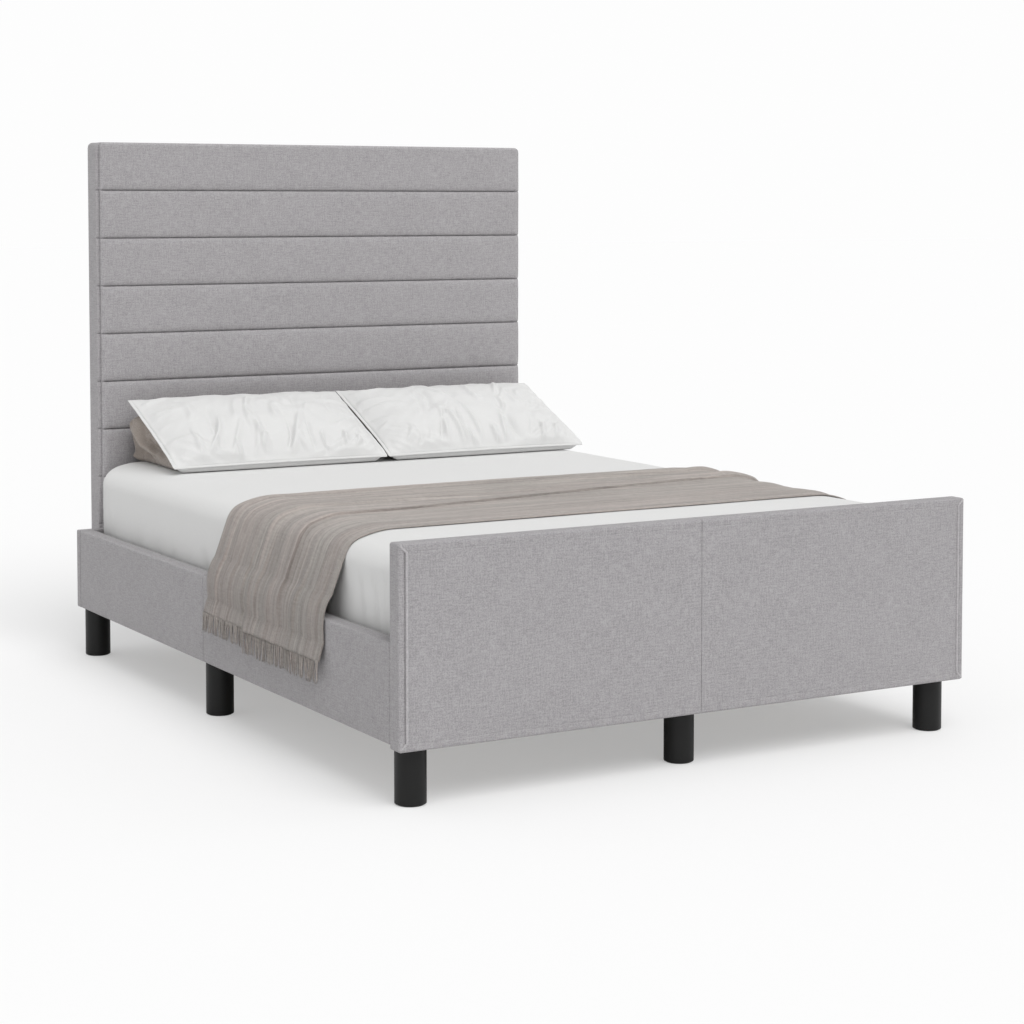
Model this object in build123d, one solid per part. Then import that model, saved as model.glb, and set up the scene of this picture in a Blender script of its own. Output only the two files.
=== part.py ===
"""Upholstered double bed with a channelled headboard, made for flat packing.

Millimetres, +Z up, +Y towards the headboard, +X to the right seen from the foot.
The origin is on the floor, in the middle of the bed. Every sub-part is written to
parts/ as one STEP file named after it.
"""
from build123d import *
import os
from math import acos, atan2, cos, hypot, radians, sin, tan

# ---- Driving dimensions ----------------------------------------------------

mattress_width = 1400.0
mattress_length = 1880.0
mattress_height = 228.0
mattress_edge_radius = 30.0
mattress_corner_radius = 60.0
sheet_thickness = 1.0
sheet_tuck = 120.0
side_clearance = 7.0
end_clearance = 2.5

rail_core_thickness = 30.0
footboard_core_thickness = 32.0
cover_thickness = 6.0
cover_edge_radius = 5.0
rail_bottom = 133.0
rail_height = 214.0
rail_joint_from_foot = 1046.0
footboard_bottom = 124.0
footboard_height = 432.0
head_rail_core_thickness = 18.0
head_rail_cover_thickness = 3.0
head_rail_edge_radius = 2.5

headboard_step_in = 30.0
headboard_rise = 90.0
channel_count = 9
headboard_top = 1420.0
headboard_thickness = 84.0
headboard_corner_radius = 20.0
channel_depth = 8.0
trim_margin = 10.0
headboard_skin = 2.0
headboard_side_foam = 4.0
headboard_front_foam = 33.0
headboard_panel_thickness = 4.0
back_cloth_thickness = 1.0
stile_width = 60.0
headboard_bottom_beam = 110.0
cross_rail_height = 60.0
cross_rail_count = 4

leg_diameter = 68.0
leg_edge_radius = 2.0
glide_diameter = 58.0
glide_thickness = 2.0
foot_leg_inset_x = 57.0
foot_leg_inset_y = 60.0
side_leg_gap = 0.5
middle_leg_from_foot = 1052.0
centre_foot_leg_from_foot = 89.0
stud_diameter = 8.0
stud_in_leg = 25.0
stud_in_block = 30.0

block_size = 60.0
block_height = 80.0
middle_block_height = 47.0
middle_block_length = 110.0

bracket_arm = 50.0
bracket_height = 60.0
bracket_gap = 3.0
bracket_bolt_reach = 30.0
steel_plate = 3.0
bolt_diameter = 6.0
bolt_head_diameter = 12.0
bolt_head_height = 4.0
bolt_grip = 22.0
short_bolt_grip = 20.0
joining_plate_length = 160.0
joining_plate_height = 50.0
joining_plate_inset = 10.0
joining_bolt_spacing = 106.0
dowel_diameter = 10.0
dowel_length = 60.0
dowel_count = 3

slat_count = 13
slats_below_rail_top = 44.0
slat_width = 53.0
slat_thickness = 8.0
slat_end_play = 1.0
holder_wall = 2.5
holder_floor = 3.0
holder_length = 36.0
first_slat_from_end = 75.0
ledger_width = 25.0
ledger_height = 40.0
ledger_end_gap = 62.0
ledger_screw_count = 3
ledger_screw_inset = 50.0
screw_diameter = 4.0
screw_head_diameter = 8.0
screw_head_height = 3.0
screw_grip = 40.0

beam_width = 50.0
beam_height = 70.0
beam_wall = 2.0
beam_end_gap = 1.0
sleeve_length = 200.0
sleeve_clearance = 0.2
hanger_margin = 5.0
hanger_plate_width = 120.0
hanger_plate_height = 72.0
hanger_clearance = 0.2

headboard_bolt_diameter = 8.0
headboard_bolt_head = 16.0
headboard_bolt_head_height = 5.0
headboard_bolt_inset = 228.0
headboard_bolt_pitch = 34.0
headboard_bolt_tail = 18.0
nut_flange_diameter = 22.0
nut_flange_thickness = 2.0
nut_barrel_diameter = 11.0
nut_length = 12.0

rest_clearance = 0.3
throw_width = 664.0
throw_from_foot = 345.0
throw_thickness = 4.0
throw_hem_drop = 91.0
throw_side_gap = 0.6
fringe_length = 52.0
fringe_thickness = 2.4

pillow_width = 636.0
pillow_length = 378.0
pillow_loft = 88.0
pillow_gap = 12.0
pillows_off_centre = 26.0
pillow_tilt = 24.0
pillow_from_head = 400.0
pillow_lift = 3.0
cushion_width = 600.0
cushion_reach = 352.0
cushion_back_height = 120.0
cushion_back_gap = 10.0
cushion_shoulder = 64.0
cushion_edge_radius = 8.0

# ---- Derived places --------------------------------------------------------

rail_thickness = rail_core_thickness + 2 * cover_thickness
footboard_thickness = footboard_core_thickness + 2 * cover_thickness
head_rail_thickness = head_rail_core_thickness + 2 * head_rail_cover_thickness

well_half_width = mattress_width / 2 + sheet_thickness + side_clearance
well_length = mattress_length + 2 * (sheet_thickness + end_clearance)
half_width = well_half_width + rail_thickness
frame_length = footboard_thickness + well_length + head_rail_thickness
bed_length = frame_length + headboard_thickness

foot_y = -bed_length / 2
well_foot_y = foot_y + footboard_thickness
well_head_y = well_foot_y + well_length
frame_head_y = well_head_y + head_rail_thickness
head_y = frame_head_y + headboard_thickness
joint_y = foot_y + rail_joint_from_foot
mattress_y = (well_foot_y + well_head_y) / 2

rail_top = rail_bottom + rail_height
footboard_top = footboard_bottom + footboard_height
headboard_bottom = rail_bottom + headboard_rise
headboard_width = 2 * (well_half_width - headboard_step_in)
channel_pitch = (headboard_top - headboard_bottom) / channel_count

holder_height = holder_floor + slat_thickness
slat_top = rail_top - slats_below_rail_top
holder_bottom = slat_top - holder_height
slat_bottom = slat_top - slat_thickness
beam_bottom = holder_bottom - beam_height
mattress_bottom = slat_top + sheet_thickness
sheet_top = mattress_bottom + mattress_height + sheet_thickness
bracket_bottom = rail_bottom + block_height + bracket_gap

leg_radius = leg_diameter / 2
foot_leg_x = half_width - foot_leg_inset_x
side_leg_x = well_half_width - stud_diameter / 2 - side_leg_gap
foot_leg_y = foot_y + foot_leg_inset_y
middle_leg_y = foot_y + middle_leg_from_foot
head_leg_y = frame_head_y - leg_radius
centre_foot_leg_y = foot_y + centre_foot_leg_from_foot
centre_head_leg_y = well_head_y - (centre_foot_leg_y - well_foot_y)
hanger_reach = centre_foot_leg_y - well_foot_y + leg_radius + hanger_margin
hanger_bottom = beam_bottom - steel_plate


# ---- Small helpers ---------------------------------------------------------

def block(x_range, y_range, z_range):
    """An upright box between two values of X, of Y and of Z."""
    (x0, x1), (y0, y1), (z0, z1) = x_range, y_range, z_range
    size = (abs(x1 - x0), abs(y1 - y0), abs(z1 - z0))
    middle = ((x0 + x1) / 2, (y0 + y1) / 2, (z0 + z1) / 2)
    return Pos(*middle) * Box(*size)


def rod(start, direction, radius, length):
    """A cylinder from start along direction."""
    disc = Plane(origin=start, z_dir=direction) * Circle(radius)
    return extrude(disc, length)


def fastener(seat, direction, shank, grip, head, head_height):
    """A bolt whose head stands on seat and whose shank runs along direction."""
    back = tuple(-part for part in direction)
    return rod(seat, direction, shank / 2, grip) + rod(seat, back, head / 2, head_height)


def machine_bolt(seat, direction):
    return fastener(seat, direction, bolt_diameter, bolt_grip, bolt_head_diameter, bolt_head_height)


def cut(shape, tools):
    """The shape with each tool's own volume taken out of it."""
    for tool in tools:
        shape = shape - tool
    return shape


def mirrored(shapes):
    """The shapes and their mirror images in the bed's middle plane."""
    return list(shapes) + [mirror(shape, about=Plane.YZ) for shape in shapes]


def spread(first, last, count):
    """Evenly spaced values from first to last."""
    return [first + (last - first) * index / (count - 1) for index in range(count)]


def save(node, shapes):
    """Write one node: a single solid, or a group of separate solids."""
    solids = [solid for shape in shapes for solid in shape.solids()]
    export_step(Compound(solids) if len(solids) > 1 else solids[0], f"parts/{node}.step")


def rounded(shape, radius, keep_sharp):
    """The shape with its edges rounded, except those that keep_sharp picks."""
    edges = [edge for edge in shape.edges() if not keep_sharp(edge.center())]
    return fillet(edges, radius)


# ---- Footboard -------------------------------------------------------------

def footboard_half(side):
    """Core and cover of one half of the footboard; side is -1 left, +1 right."""
    y_range = (foot_y, well_foot_y)
    z_range = (footboard_bottom, footboard_top)
    outer = block((0, side * half_width), y_range, z_range)
    outer = rounded(outer, cover_edge_radius, lambda centre: abs(centre.X) < 1)
    core = block(
        (0, side * (half_width - cover_thickness)),
        (foot_y + cover_thickness, well_foot_y - cover_thickness),
        (footboard_bottom + cover_thickness, footboard_top - cover_thickness),
    )
    return core, outer - core


def footboard_dowels():
    """Wooden dowels that line up the two halves, above the mattress's base."""
    y = (foot_y + well_foot_y) / 2
    heights = spread(slat_top, footboard_top - 2 * cover_thickness - dowel_diameter, dowel_count)
    start = -dowel_length / 2
    return [rod((start, y, z), (1, 0, 0), dowel_diameter / 2, dowel_length) for z in heights]


# ---- Rails -----------------------------------------------------------------

def side_rail(side, y_range):
    """Core and cover of one length of side rail; side is -1 left, +1 right."""
    x_range = (side * well_half_width, side * half_width)
    outer = block(x_range, y_range, (rail_bottom, rail_top))
    ends = [edge for edge in outer.edges() if abs(edge.center().Y - sum(y_range) / 2) < 1]
    outer = fillet(ends, cover_edge_radius)
    core = block(
        (side * (well_half_width + cover_thickness), side * (half_width - cover_thickness)),
        y_range,
        (rail_bottom + cover_thickness, rail_top - cover_thickness),
    )
    return core, outer - core


def head_rail():
    """Core and cover of the cross rail that closes the head end of the frame."""
    skin = head_rail_cover_thickness
    outer = block((-half_width, half_width), (well_head_y, frame_head_y), (rail_bottom, rail_top))
    outer = fillet(outer.edges(), head_rail_edge_radius)
    core = block(
        (-half_width + skin, half_width - skin),
        (well_head_y + skin, frame_head_y - skin),
        (rail_bottom + skin, rail_top - skin),
    )
    return core, outer - core


# ---- Headboard -------------------------------------------------------------

def rounded_prism(inset, y_range):
    """The headboard's outline, inset all round, between two values of Y."""
    middle_z = (headboard_bottom + headboard_top) / 2
    outline = RectangleRounded(
        headboard_width - 2 * inset,
        headboard_top - headboard_bottom - 2 * inset,
        headboard_corner_radius - inset,
    )
    face = Plane((0, y_range[1], middle_z), x_dir=(1, 0, 0), z_dir=(0, -1, 0)) * outline
    return extrude(face, y_range[1] - y_range[0])


def channelled_slab(front_y, inset):
    """A slab whose front is a row of horizontal padded channels.

    Each channel's front is an arc that stands channel_depth proud of its seams.
    The slab is made trim_margin too large and then trimmed to the outline.
    """
    seam_y = front_y + channel_depth
    low = headboard_bottom - trim_margin
    high = headboard_top + trim_margin
    inner_seams = [headboard_bottom + index * channel_pitch for index in range(1, channel_count)]
    seams = [low, *inner_seams, high]
    lines = []
    for start, end in zip(seams, seams[1:]):
        peak = (front_y, (start + end) / 2)
        lines.append(ThreePointArc((seam_y, start), peak, (seam_y, end)))
    back = head_y + trim_margin
    lines.append(Polyline((seam_y, high), (back, high), (back, low), (seam_y, low)))
    profile = make_face(Plane.YZ * Curve(lines))
    slab = extrude(profile, headboard_width / 2 + trim_margin, both=True)
    return slab & rounded_prism(inset, (frame_head_y, head_y))


def headboard():
    """Cover, foam, panel, back cloth and timber frame of the headboard."""
    edge = headboard_skin + headboard_side_foam
    panel_y = frame_head_y + headboard_skin + headboard_front_foam
    timber_y = panel_y + headboard_panel_thickness
    back_y = head_y - back_cloth_thickness
    x_half = headboard_width / 2 - edge
    z_low = headboard_bottom + edge
    z_high = headboard_top - edge

    outer = channelled_slab(frame_head_y, 0)
    inner = channelled_slab(frame_head_y + headboard_skin, headboard_skin)
    cloth = rounded_prism(headboard_skin, (back_y, head_y))
    panel = rounded_prism(edge, (panel_y, timber_y))
    foam = inner - rounded_prism(edge, (panel_y, head_y)) - cloth
    stiles = mirrored([block((x_half - stile_width, x_half), (timber_y, back_y), (z_low, z_high))])
    rail_half = x_half - stile_width
    bottom_top = z_low + headboard_bottom_beam
    rails = [block((-rail_half, rail_half), (timber_y, back_y), (z_low, bottom_top))]
    first = bottom_top + cross_rail_height
    for low in spread(first, z_high - cross_rail_height, cross_rail_count):
        rails.append(block((-rail_half, rail_half), (timber_y, back_y), (low, low + cross_rail_height)))
    timber_room = rounded_prism(edge, (timber_y, back_y))
    return {
        "cover": outer - inner,
        "foam": foam,
        "panel": panel,
        "cloth": cloth,
        "timber": [part & timber_room for part in stiles + rails],
        "timber_y": timber_y,
    }


def headboard_fixings(timber_y):
    """Bolts through the head rail, and the tee nuts they turn into."""
    top_row = slat_bottom - headboard_bolt_head / 2
    grip = timber_y - well_head_y + nut_length + headboard_bolt_tail
    bolts = []
    nuts = []
    bolt_x = headboard_width / 2 - headboard_bolt_inset
    for x in (-bolt_x, bolt_x):
        for z in (top_row, top_row - headboard_bolt_pitch):
            seat = (x, well_head_y, z)
            bolts.append(fastener(seat, (0, 1, 0), headboard_bolt_diameter, grip,
                                  headboard_bolt_head, headboard_bolt_head_height))
            flange = rod((x, timber_y, z), (0, 1, 0), nut_flange_diameter / 2, nut_flange_thickness)
            barrel = rod((x, timber_y, z), (0, 1, 0), nut_barrel_diameter / 2, nut_length)
            hole = rod((x, timber_y, z), (0, 1, 0), headboard_bolt_diameter / 2, nut_length)
            nuts.append(flange + barrel - hole)
    return bolts, nuts


# ---- Corner joints ---------------------------------------------------------

def corner_bracket(end_y, inward):
    """Right-hand steel angle between a side rail and an end board, with its bolts.

    end_y is the end board's inner face and inward is +1 or -1 along Y.
    """
    x = well_half_width
    z_range = (bracket_bottom, bracket_bottom + bracket_height)
    on_rail = block((x - steel_plate, x), (end_y, end_y + inward * bracket_arm), z_range)
    on_board = block((x - bracket_arm, x), (end_y, end_y + inward * steel_plate), z_range)
    bolts = []
    for z in spread(z_range[0] + bolt_head_diameter, z_range[1] - bolt_head_diameter, 2):
        bolts.append(machine_bolt((x - steel_plate, end_y + inward * bracket_bolt_reach, z), (1, 0, 0)))
    board_grip = bolt_grip if inward > 0 else short_bolt_grip
    for z in spread(z_range[0] + bolt_head_diameter, z_range[1] - bolt_head_diameter, 2):
        seat = (x - bracket_bolt_reach, end_y + inward * steel_plate, z)
        bolts.append(fastener(seat, (0, -inward, 0), bolt_diameter, board_grip,
                              bolt_head_diameter, bolt_head_height))
    return cut(on_rail + on_board, bolts), bolts


def rail_joining_plate():
    """Right-hand steel plate across the joint in a side rail, with its bolts."""
    x = well_half_width
    low = holder_bottom - ledger_height - joining_plate_inset / 2 - joining_plate_height
    y_range = (joint_y - joining_plate_length / 2, joint_y + joining_plate_length / 2)
    plate = block((x - steel_plate, x), y_range, (low, low + joining_plate_height))
    z_rows = spread(low + joining_plate_inset, low + joining_plate_height - joining_plate_inset, 2)
    bolts = [
        machine_bolt((x - steel_plate, joint_y + side * joining_bolt_spacing / 2, z), (1, 0, 0))
        for side in (-1, 1)
        for z in z_rows
    ]
    return cut(plate, bolts), bolts


def footboard_joining_plate():
    """Steel plate across the footboard's joint, below the centre beam's hanger."""
    top = hanger_bottom - joining_plate_inset
    z_range = (top - joining_plate_height, top)
    x_half = joining_plate_length / 2
    plate = block((-x_half, x_half), (well_foot_y, well_foot_y + steel_plate), z_range)
    z_rows = spread(z_range[0] + joining_plate_inset, z_range[1] - joining_plate_inset, 2)
    bolts = [
        machine_bolt((side * joining_bolt_spacing / 2, well_foot_y + steel_plate, z), (0, -1, 0))
        for side in (-1, 1)
        for z in z_rows
    ]
    return cut(plate, bolts), bolts


def beam_hanger(end_y, inward):
    """Steel seat for one end of the centre beam, with its bolts."""
    plate_low = hanger_bottom
    plate_face = end_y + inward * steel_plate
    x_half = hanger_plate_width / 2
    plate = block((-x_half, x_half), (end_y, plate_face), (plate_low, plate_low + hanger_plate_height))
    channel_half = beam_width / 2 + hanger_clearance
    y_range = (plate_face, end_y + inward * hanger_reach)
    channel = block((-channel_half - steel_plate, channel_half + steel_plate), y_range,
                    (plate_low, beam_bottom + beam_height / 2))
    room = block((-channel_half, channel_half), y_range, (beam_bottom, beam_bottom + beam_height))
    z_rows = spread(plate_low + joining_plate_inset, plate_low + hanger_plate_height - joining_plate_inset, 2)
    grip = bolt_grip if inward > 0 else short_bolt_grip
    bolts = [
        fastener((side * (x_half - joining_plate_inset), plate_face, z), (0, -inward, 0),
                 bolt_diameter, grip, bolt_head_diameter, bolt_head_height)
        for side in (-1, 1)
        for z in z_rows
    ]
    return cut(plate + (channel - room), bolts), bolts


# ---- Slatted base ----------------------------------------------------------

def ledger(y_range):
    """Right-hand batten that carries the slat holders, with its screws."""
    x = well_half_width
    z_range = (holder_bottom - ledger_height, holder_bottom)
    batten = block((x - ledger_width, x), y_range, z_range)
    seat_x = x - ledger_width + screw_head_height
    screws = [
        fastener((seat_x, y, sum(z_range) / 2), (1, 0, 0), screw_diameter, screw_grip,
                 screw_head_diameter, screw_head_height)
        for y in spread(y_range[0] + ledger_screw_inset, y_range[1] - ledger_screw_inset, ledger_screw_count)
    ]
    return cut(batten, screws), screws


def slat_rows():
    return spread(well_foot_y + first_slat_from_end, well_head_y - first_slat_from_end, slat_count)


def side_holder(y):
    """Right-hand plastic cradle for the outer end of a slat, open at the top."""
    x_outer = well_half_width - rest_clearance
    half = slat_width / 2 + holder_wall
    body = block((x_outer - holder_length, x_outer), (y - half, y + half), (holder_bottom, slat_top))
    pocket = block((x_outer - holder_length, x_outer - holder_wall),
                   (y - slat_width / 2, y + slat_width / 2),
                   (holder_bottom + holder_floor, slat_top))
    return body - pocket


def centre_holder(y):
    """Plastic cradle on the centre beam for the inner ends of two slats."""
    half = slat_width / 2 + holder_wall
    body = block((-holder_length, holder_length), (y - half, y + half), (holder_bottom, slat_top))
    for side in (-1, 1):
        body -= block((side * holder_wall, side * holder_length),
                      (y - slat_width / 2, y + slat_width / 2),
                      (holder_bottom + holder_floor, slat_top))
    return body


def slat(y):
    """One right-hand plywood slat, lying in its two cradles."""
    x_inner = holder_wall + slat_end_play
    x_outer = well_half_width - rest_clearance - holder_wall - slat_end_play
    half = slat_width / 2 - rest_clearance
    return block((x_inner, x_outer), (y - half, y + half), (slat_bottom, slat_top))


def centre_beam(y_range):
    """One length of the steel box section under the middle of the slats."""
    outer = block((-beam_width / 2, beam_width / 2), y_range, (beam_bottom, holder_bottom))
    inner_half = beam_width / 2 - beam_wall
    bore = block((-inner_half, inner_half), y_range,
                 (beam_bottom + beam_wall, holder_bottom - beam_wall))
    return outer - bore


def beam_sleeve():
    """Inner sleeve that joins the two lengths of the centre beam."""
    gap = beam_wall + sleeve_clearance
    half = beam_width / 2 - gap
    y_range = (joint_y - sleeve_length / 2, joint_y + sleeve_length / 2)
    z_range = (beam_bottom + gap, holder_bottom - gap)
    outer = block((-half, half), y_range, z_range)
    bore = block((-half + beam_wall, half - beam_wall), y_range,
                 (z_range[0] + beam_wall, z_range[1] - beam_wall))
    return outer - bore


# ---- Legs ------------------------------------------------------------------

def leg(x, y, top):
    """Plain round leg on its glide, up to the face that carries it."""
    post = rod((x, y, glide_thickness), (0, 0, 1), leg_radius, top - glide_thickness)
    low_edge = post.edges().sort_by(Axis.Z)[0]
    return fillet(low_edge, leg_edge_radius)


def stud(x, y, top):
    length = stud_in_leg + stud_in_block
    return rod((x, y, top - stud_in_leg), (0, 0, 1), stud_diameter / 2, length)


def glide(x, y):
    return rod((x, y, 0), (0, 0, 1), glide_diameter / 2, glide_thickness)


# ---- Bedding ---------------------------------------------------------------

def padded_block(width, length, bottom, top, corner, edge):
    """A soft block with round upright corners and round top and bottom edges."""
    plan = Plane((0, mattress_y, bottom)) * RectangleRounded(width, length, corner)
    body = extrude(plan, top - bottom)
    levels = body.edges().group_by(Axis.Z)
    return fillet(levels[0] + levels[-1], edge)


def mattress_and_sheet():
    """The mattress and the fitted sheet that wraps it and tucks under its rim."""
    top = mattress_bottom + mattress_height
    body = padded_block(mattress_width, mattress_length, mattress_bottom, top,
                        mattress_corner_radius, mattress_edge_radius)
    wrap = padded_block(mattress_width + 2 * sheet_thickness, mattress_length + 2 * sheet_thickness,
                        slat_top, sheet_top, mattress_corner_radius + sheet_thickness,
                        mattress_edge_radius + sheet_thickness)
    half_window_x = mattress_width / 2 - sheet_tuck
    half_window_y = mattress_length / 2 - sheet_tuck
    window = block((-half_window_x, half_window_x),
                   (mattress_y - half_window_y, mattress_y + half_window_y),
                   (slat_top, mattress_bottom))
    return body, wrap - body - window


def throw_profile():
    """Section of the throw in the XZ plane: over the mattress and outside the rails.

    Beyond the mattress's round edge it runs straight to the rail's top, and from
    there it hangs. slope is the straight stretch's angle from the vertical.
    """
    radius = mattress_edge_radius + sheet_thickness + rest_clearance
    bend_x = mattress_width / 2 - mattress_edge_radius
    bend_z = sheet_top + rest_clearance - radius
    hang_x = half_width + throw_side_gap
    hang_z = rail_top
    across = hang_x - bend_x
    down = bend_z - hang_z
    slope = acos(radius / hypot(across, down)) - atan2(down, across)
    hem_z = rail_top - throw_hem_drop

    def surface(offset):
        bend = radius + offset
        arc_mid = (radians(90) + slope) / 2
        return [
            (bend_x, bend_z + bend),
            (bend_x + bend * cos(arc_mid), bend_z + bend * sin(arc_mid)),
            (bend_x + bend * cos(slope), bend_z + bend * sin(slope)),
            (hang_x + offset, hang_z + offset * tan(slope / 2)),
            (hang_x + offset, hem_z),
        ]

    def flipped(points):
        return [(-x, z) for x, z in points]

    inner = surface(0)
    outer = surface(throw_thickness)
    lines = []
    for points in (inner, outer, flipped(inner), flipped(outer)):
        lines.append(ThreePointArc(*points[:3]))
        lines.append(Polyline(*points[2:]))
    for points in (inner, outer):
        lines.append(Line(points[0], flipped(points)[0]))
    for sign in (1, -1):
        lines.append(Line((sign * inner[-1][0], hem_z), (sign * outer[-1][0], hem_z)))
    return make_face(Plane.XZ * Curve(lines)), hem_z


def throw_and_fringe():
    """The draped throw and the fringe along its two hems."""
    profile, hem_z = throw_profile()
    front = foot_y + throw_from_foot
    drape = Pos(0, front + throw_width, 0) * extrude(profile, throw_width)
    x_low = half_width + throw_side_gap + (throw_thickness - fringe_thickness) / 2
    strip = block((x_low, x_low + fringe_thickness), (front, front + throw_width),
                  (hem_z - fringe_length, hem_z))
    return drape, mirrored([strip])


def pillow_plane(x):
    """Plane of the underside of a white pillow: local X along the bed's width, Y up the slope."""
    half = pillow_length / 2
    low_y = frame_head_y - pillow_from_head
    low_z = sheet_top + pillow_lift
    tilt = radians(pillow_tilt)
    centre = (x, low_y + half * cos(tilt), low_z + half * sin(tilt))
    return Plane(centre, x_dir=(1, 0, 0), z_dir=(0, -sin(tilt), cos(tilt)))


def pillow(x):
    """A knife-edged pillow: the overlap of a long vault and a cross vault."""
    half_w = pillow_width / 2
    half_l = pillow_length / 2
    long_arch = make_face(Plane.YZ * Curve([
        ThreePointArc((-half_l, 0), (0, pillow_loft), (half_l, 0)), Line((half_l, 0), (-half_l, 0))]))
    cross_arch = make_face(Plane.XZ * Curve([
        ThreePointArc((-half_w, 0), (0, pillow_loft), (half_w, 0)), Line((half_w, 0), (-half_w, 0))]))
    vault = extrude(long_arch, half_w, both=True) & extrude(cross_arch, half_l, both=True)
    return pillow_plane(x).location * vault


def cushion(x):
    """The cushion that props a pillow: its section follows the pillow's underside."""
    tilt = radians(pillow_tilt)
    low_y = frame_head_y - pillow_from_head
    low_z = sheet_top + pillow_lift - rest_clearance / cos(tilt)
    floor = sheet_top + rest_clearance

    def under_pillow(y):
        return low_z + (y - low_y) * tan(tilt)

    back_y = frame_head_y - cushion_back_gap
    front_y = back_y - cushion_reach
    shoulder_y = back_y - cushion_shoulder
    section = Plane.YZ * make_face(Polyline(
        (front_y, floor),
        (front_y, under_pillow(front_y)),
        (shoulder_y, under_pillow(shoulder_y)),
        (back_y, floor + cushion_back_height),
        (back_y, floor),
        close=True,
    ))
    body = extrude(section, cushion_width / 2, both=True)
    return Pos(x, 0, 0) * fillet(body.edges(), cushion_edge_radius)


# ---- Assembly --------------------------------------------------------------

def build_frame():
    """Every piece of the bed itself, as a dictionary of node name to solids."""
    nodes = {}
    foot_bracket, foot_bolts = corner_bracket(well_foot_y, 1)
    head_bracket, head_bolts = corner_bracket(well_head_y, -1)
    corner_bolts = mirrored(foot_bolts + head_bolts)
    nodes["corner_brackets"] = mirrored([foot_bracket, head_bracket])
    nodes["corner_bracket_bolts"] = corner_bolts

    rail_plate, rail_bolts = rail_joining_plate()
    foot_plate, foot_plate_bolts = footboard_joining_plate()
    hanger_bolts = beam_hanger(well_foot_y, 1)[1] + beam_hanger(well_head_y, -1)[1]
    plate_bolts = mirrored(rail_bolts) + foot_plate_bolts + hanger_bolts
    nodes["rail_joining_plates"] = mirrored([rail_plate])
    nodes["footboard_joining_plate"] = [foot_plate]
    nodes["joining_bolts"] = plate_bolts

    front_ledger, front_screws = ledger((well_foot_y + ledger_end_gap, joint_y))
    rear_ledger, rear_screws = ledger((joint_y, well_head_y - ledger_end_gap))
    screws = mirrored(front_screws + rear_screws)
    nodes["ledgers_right"] = [front_ledger, rear_ledger]
    nodes["ledgers_left"] = [mirror(part, about=Plane.YZ) for part in (front_ledger, rear_ledger)]
    nodes["ledger_screws"] = screws

    dowels = footboard_dowels()
    nodes["footboard_dowels"] = dowels
    end_fasteners = corner_bolts + plate_bolts + dowels
    for name, side in (("left", -1), ("right", 1)):
        core, cover = footboard_half(side)
        nodes[f"footboard_core_{name}"] = [cut(core, end_fasteners)]
        nodes[f"footboard_cover_{name}"] = [cut(cover, end_fasteners)]
        for part, y_range in (("front", (well_foot_y, joint_y)), ("rear", (joint_y, well_head_y))):
            core, cover = side_rail(side, y_range)
            fasteners = corner_bolts + plate_bolts + screws
            nodes[f"{name}_rail_{part}_core"] = [cut(core, fasteners)]
            nodes[f"{name}_rail_{part}_cover"] = [cut(cover, fasteners)]

    board = headboard()
    bolts, nuts = headboard_fixings(board["timber_y"])
    core, cover = head_rail()
    nodes["head_rail_core"] = [cut(core, end_fasteners + bolts)]
    nodes["head_rail_cover"] = [cut(cover, end_fasteners + bolts)]
    nodes["headboard_cover"] = [cut(board["cover"], bolts)]
    nodes["headboard_foam"] = [cut(board["foam"], bolts)]
    nodes["headboard_panel"] = [cut(board["panel"], bolts)]
    nodes["headboard_back_cloth"] = [board["cloth"]]
    nodes["headboard_timber_frame"] = [cut(part, bolts + nuts) for part in board["timber"]]
    nodes["headboard_bolts"] = bolts
    nodes["headboard_tee_nuts"] = nuts
    return nodes


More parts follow.
